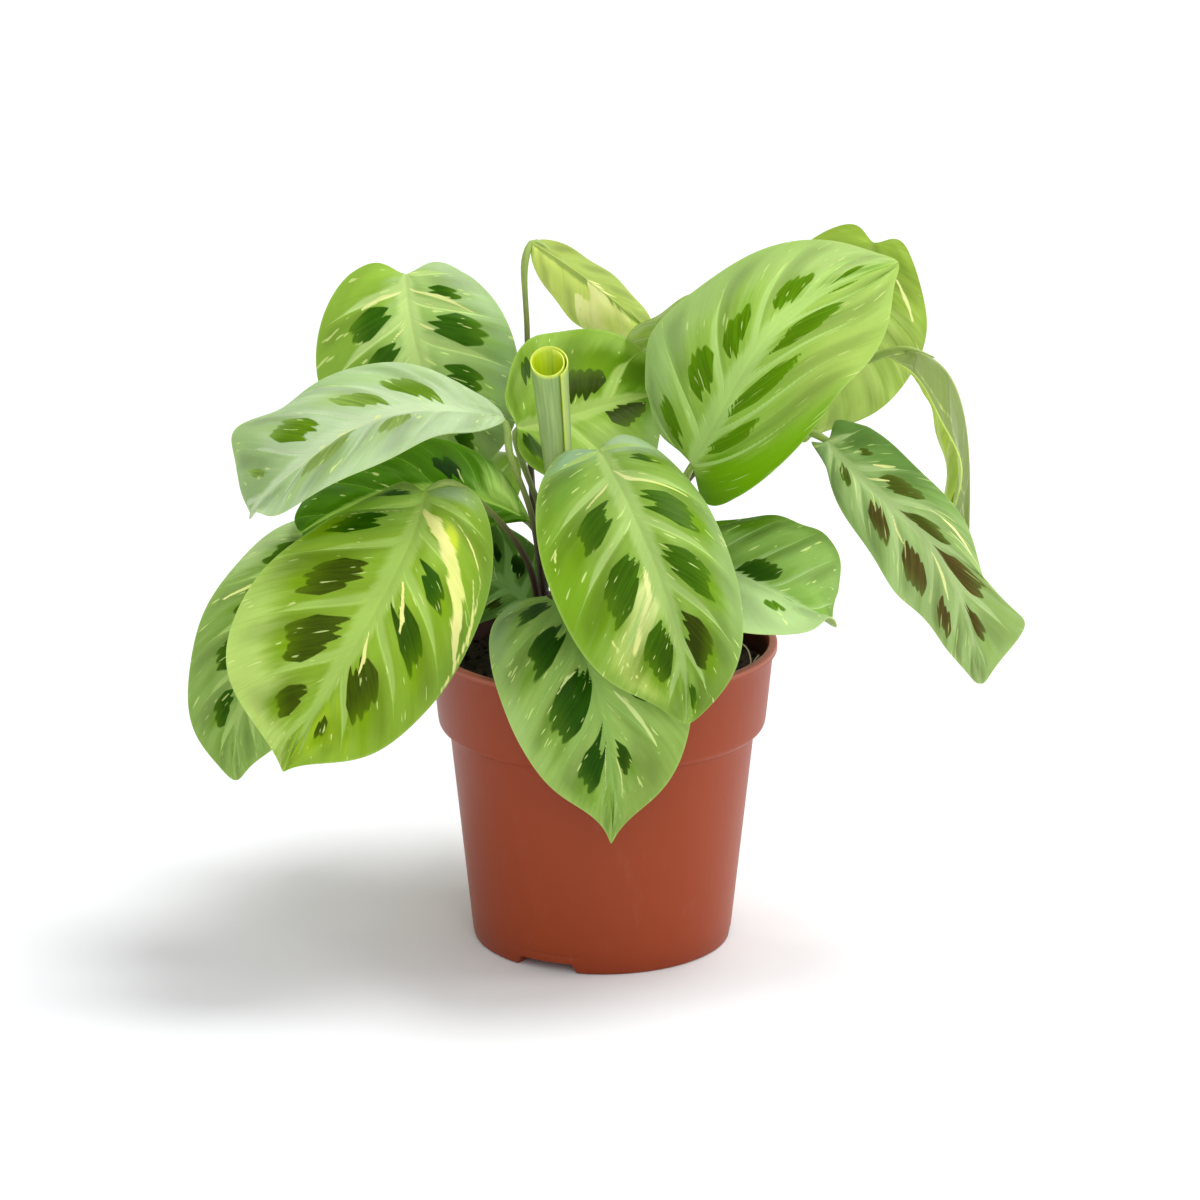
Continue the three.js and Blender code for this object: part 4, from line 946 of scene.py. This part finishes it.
def foliage(stalk):
    for number, (name, leaf) in enumerate({**LEAVES, **SHOOT_LEAVES}.items()):
        body = Body()
        look = {**LOOK, **leaf}
        rows, columns = (100, 26) if name in HIDDEN else (150, 38)
        add_blade(body, leaf, look, number + 1, rows, columns)
        add_stalk(body, leaf, 5.0 * number, 2)
        materials = [upper_material(name + "_upper", look), under_material(name + "_under", look), stalk]
        slot = "pale_leaf" if name == "leaf_left_pale" else "leaf"
        body.piece("fine_" + name, materials, slot, name if name in LEAVES else SHOOT["name"])
    body = Body()
    path, _ = catmull(SHOOT["stem"] + rooted(SHOOT), 90)
    u = np.linspace(0, 1, 90)
    radius = SHOOT["radius"] + SHOOT["foot"] * u
    for place, swell in SHOOT["joints"]:
        radius = radius + swell * np.exp(-((u - place) / 0.02) ** 2)
    add_tube(body, path, radius, 0, 90.0, ease(path[:, 2], 160, 118), 1 - ease(u, 0, 0.3))
    body.piece("fine_shoot_stem", [stalk], "leaf", SHOOT["name"])


def rolled_leaf(stalk):
    body = Body()
    rows, columns = ((60, 120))
    h, w = np.meshgrid(np.linspace(0, 1, rows + 1), np.linspace(0, 1, columns + 1), indexing="ij")
    foot = np.array(ROLL["foot"], float)
    axis = np.array(ROLL["mouth"], float) - foot
    turn = ROLL["start"] + 2 * np.pi * ROLL["turns"] * w
    radius = ROLL["foot_radius"] + (ROLL["mouth_radius"] - ROLL["foot_radius"]) * h - ROLL["inset"] * w
    slant = ROLL["lean"] * radius * np.sin(turn) * h * h
    grid = foot + axis * h[..., None] + np.stack([radius * np.cos(turn), radius * np.sin(turn), slant], -1)
    grain = np.stack([h * ROLL["height"], w * ROLL["width"], 0 * h + 3.0], -1)
    overlap = (1 - ease(w, 0.0, 0.09)) * ease(h, 0.05, 0.3)
    zone = np.stack([ease(h, 0.965, 1.0), overlap, h], -1)
    thick = 0 * h + ROLL["half"]
    add_sheet(body, grid, thick, thick, (1, 0), False, False, grain=grain, zone=zone)
    add_stalk(body, ROLL, 61.0, 2, 1.25)
    materials = [roll_material("roll_outside", False), roll_material("roll_inside", True), stalk]
    body.piece("young_rolled_leaf", materials, "young_leaf", ROLL["name"])


# Pot and soil

def rounded(profile):
    """A profile of radius, height and fillet, with its corners rounded."""
    out = []
    for k, (r, z, fillet) in enumerate(profile):
        here = np.array([r, z], float)
        if not fillet or k in (0, len(profile) - 1):
            out.append(here)
            continue
        before = np.array(profile[k - 1][:2], float) - here
        after = np.array(profile[k + 1][:2], float) - here
        cut = min(fillet, 0.45 * np.linalg.norm(before), 0.45 * np.linalg.norm(after))
        a, b = here + cut * unit(before), here + cut * unit(after)
        for u in np.linspace(0, 1, 5):
            out.append((1 - u) ** 2 * a + 2 * u * (1 - u) * here + u * u * b)
    return np.array(out)


def inner_radius(z):
    if z >= POT["collar_z"]:
        u = (z - POT["collar_z"]) / (POT["height"] - POT["collar_z"])
        return POT["collar_foot"] + u * (POT["collar_top"] - POT["collar_foot"]) - POT["wall"]
    return POT["foot"] + z / POT["wall_z"] * (POT["wall_top"] - POT["foot"]) - POT["wall"]


def spread(start, end, count):
    """Evenly spaced profile points between two ends, both left out."""
    return [(start[0] + (end[0] - start[0]) * k / count, start[1] + (end[1] - start[1]) * k / count, 0)
            for k in range(1, count)]


def pot_outline():
    top, lip, floor = POT["height"], POT["lip"], POT["floor"]
    slope = (POT["wall_top"] - POT["foot"]) / POT["wall_z"]

    def inner(z, fillet=0):
        return inner_radius(z), z, fillet

    step_top, step_foot = inner(POT["step_top"], 0.5), inner(POT["step_foot"], 0.5)
    wall = [(POT["foot"] + slope * z, z, 0) for z in WALL_ROWS]
    outline = [(0, 0, 0), *FOOT_RING, *wall, *spread(wall[-1], WALL_END, 14)]
    outline += [*COLLAR, *spread(COLLAR[-1], COLLAR_END, 6), (POT["lip_foot"], POT["lip_z"], 0.35)]
    outline += [(lip, POT["lip_z"], 0.5), (lip, top, 0.9), inner(top, 0.4)]
    outline += [*spread(inner(top), step_top, 5), step_top, step_foot]
    outline += [*spread(step_foot, inner(floor), 8), inner(floor, 1.5), (0, floor, 0)]
    return rounded(outline)


def pot():
    sides, foot = POT["sides"], POT["foot"]
    turn = np.linspace(0, 2 * np.pi, sides, endpoint=False)
    degrees = (np.degrees(turn) + 180) % 360 - 180
    lift = np.zeros(sides)
    for k in range(NOTCH["count"]):
        centre = NOTCH["angle"] + 360 / NOTCH["count"] * k
        far = np.radians(np.abs((degrees - centre + 180) % 360 - 180)) * foot
        lift = np.maximum(lift, np.clip((NOTCH["half"] + NOTCH["slant"] - far) / NOTCH["slant"], 0, 1))
    lift = lift * NOTCH["height"]
    inside = ease(degrees, PANEL["from"], PANEL["from"] + PANEL["fade"])
    inside = inside * (1 - ease(degrees, PANEL["to"] - PANEL["fade"], PANEL["to"]))
    curve = pot_outline()[1:-1]
    points = []
    # Near the foot the outer wall carries the panel line, and the foot ring rises at the notches
    for r, z in curve:
        if z < 20 and r > foot - 0.5:
            r = r - PANEL["depth"] * math.exp(-((z - PANEL["z"]) / PANEL["line"]) ** 2) * inside
        z = np.maximum(z, lift) if z < 3.5 and np.max(r) >= 38.0 else z + 0 * turn
        points += np.stack([r * np.cos(turn), r * np.sin(turn), z], -1).tolist()
    total = len(points)
    points += [[0, 0, 0], [0, 0, POT["floor"]]]
    faces = ring_faces(len(curve), sides) + end_faces(len(curve), sides, total, total + 1)
    body = new_object("drilled", new_mesh("pot_body", points, faces, [pot_material()]))

    drill = bpy.data.meshes.new("drill")
    cutter = bmesh.new()
    radius, ring = DRAIN["radius"] * MM, DRAIN["ring"] * MM
    for k in range(DRAIN["count"]):
        angle = 2 * math.pi * k / DRAIN["count"]
        made = bmesh.ops.create_cone(cutter, cap_ends=True, segments=32, radius1=radius,
                                     radius2=radius, depth=DRAIN["drill"] * MM)
        move = Vector((ring * math.cos(angle), ring * math.sin(angle), 0))
        bmesh.ops.translate(cutter, verts=made["verts"], vec=move)
    cutter.to_mesh(drill)
    cutter.free()
    tool = new_object("drill", drill)
    cut = body.modifiers.new("cut", "BOOLEAN")
    cut.operation = "DIFFERENCE"
    cut.solver = "EXACT"
    cut.object = tool
    graph = bpy.context.evaluated_depsgraph_get()
    done = bpy.data.meshes.new_from_object(body.evaluated_get(graph))
    bpy.data.objects.remove(body)
    bpy.data.objects.remove(tool)
    finish_piece("moulded_pot", done, "pot", 38)


def soil_height(x, y):
    base = SOIL_LEVEL + 1.3 * (0.6 * math.sin(x / 9 + 1) * math.cos(y / 11) + 0.4 * math.sin((x + y) / 5))
    fine = noise.fractal(Vector((x * 0.22, y * 0.22, 3.0)), 0.8, 2.0, 4)
    edge = max(0.0, (math.hypot(x, y) - 46) / 10)
    return base + 0.9 * fine + 1.4 * edge * edge


def soil():
    material = soil_material()
    rings, sides = ((64, 220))
    edge = inner_radius(SOIL_LEVEL) - 0.25
    levels = [(inner_radius(z) - gap, z) for z, gap in SOIL_SIDE]
    levels += [(edge * (1 - k / rings), None) for k in range(rings)]
    points = [[0, 0, levels[0][1]]]
    for r, z in levels:
        for n in range(sides):
            x, y = (r * f(2 * math.pi * n / sides) for f in (math.cos, math.sin))
            points.append([x, y, z or soil_height(x, y)])
    points.append([0, 0, soil_height(0, 0)])
    faces = ring_faces(len(levels), sides, 1) + end_faces(len(levels), sides, 0, len(points) - 1, 1)
    finish_piece("potting_soil", new_mesh("potting_soil", points, faces, [material]), "soil", 60)

    rng = np.random.default_rng(12)
    crumbs = bmesh.new()
    for _ in range(CRUMBS["count"]):
        r, angle = CRUMBS["reach"] * math.sqrt(rng.uniform(0.05, 1)), rng.uniform(0, 2 * math.pi)
        size = rng.uniform(CRUMBS["small"], CRUMBS["big"])
        r = min(r, CRUMBS["wall"] - size * 0.8)
        x, y = r * math.cos(angle), r * math.sin(angle)
        made = bmesh.ops.create_icosphere(crumbs, subdivisions=2, radius=size * MM)
        shift = Vector(rng.uniform(-9, 9, 3).tolist())
        stretch = Vector(rng.uniform(0.6, 1.2, 3).tolist())
        for vertex in made["verts"]:
            bulge = 1 + 0.35 * noise.noise(vertex.co.normalized() * 1.7 + shift)
            vertex.co = Vector((c * s * bulge for c, s in zip(vertex.co, stretch)))
            vertex.co += Vector((x, y, soil_height(x, y) + 0.15 * size)) * MM
    mesh = new_mesh("soil_crumbs", [], [], [material])
    crumbs.to_mesh(mesh)
    crumbs.free()
    finish_piece("soil_crumbs", mesh, None, 60)


def roots():
    """Thin pale rootlets that show on the dark soil."""
    body = Body()
    for k, line in enumerate(ROOTLETS):
        path, _ = catmull(line, 40)
        add_tube(body, path, np.full(40, ROOTLET_RADIUS), 0, 20.0 + k, sides=8)
    pale = plain_material("rootlet", 700, tone("968268"), tone("cebea4"), 0.6)
    body.piece("rootlets", [pale], "soil")


# Camera, light and floor

def studio():
    tilt = math.radians(CAMERA["elevation"])
    camera = new_object("camera", bpy.data.cameras.new("camera"))
    camera.data.sensor_width = 36
    camera.data.lens = 36 * CAMERA["focal"] / CAMERA["frame"]
    camera.data.clip_end = 50
    back = Vector((0, -math.cos(tilt), math.sin(tilt)))
    camera.location = Vector(CAMERA["target"]) * MM + CAMERA["distance"] * back
    camera.rotation_euler = (math.pi / 2 - tilt, 0, 0)
    bpy.context.scene.camera = camera

    sun = bpy.data.lights.new("key", "SUN")
    sun.energy = SUN["power"]
    sun.angle = math.radians(SUN["angle"])
    towards = Vector(SUN["towards"])
    new_object("key", sun).rotation_euler = towards.to_track_quat("Z", "Y").to_euler()
    for name, (size, power, place) in LAMPS.items():
        lamp = bpy.data.lights.new(name, "AREA")
        lamp.shape = "DISK"
        lamp.size = size
        lamp.energy = power
        holder = new_object(name, lamp)
        holder.location = place
        aim = Vector(LAMP_AIM) - holder.location
        holder.rotation_euler = aim.to_track_quat("-Z", "Y").to_euler()
    world = bpy.data.worlds.new("studio")
    world.use_nodes = True
    sky = world.node_tree.nodes["Background"]
    sky.inputs[0].default_value = (1, 1, 1, 1)
    sky.inputs[1].default_value = SKY
    bpy.context.scene.world = world
    settings = bpy.context.scene.view_settings
    settings.view_transform = "Standard"
    settings.look = "None"

    far = FLOOR_REACH / MM
    corners = [(-far, -far, 0), (far, -far, 0), (far, far, 0), (-far, far, 0)]
    pale = plain_material("pale_floor", 12, (0.87, 0.88, 0.895), (0.885, 0.895, 0.91), 0.9)
    new_object("floor", new_mesh("floor", corners, [(0, 1, 2, 3)], [pale]))


studio()
stalk = stalk_material()
foliage(stalk)
rolled_leaf(stalk)
pot()
soil()
roots()
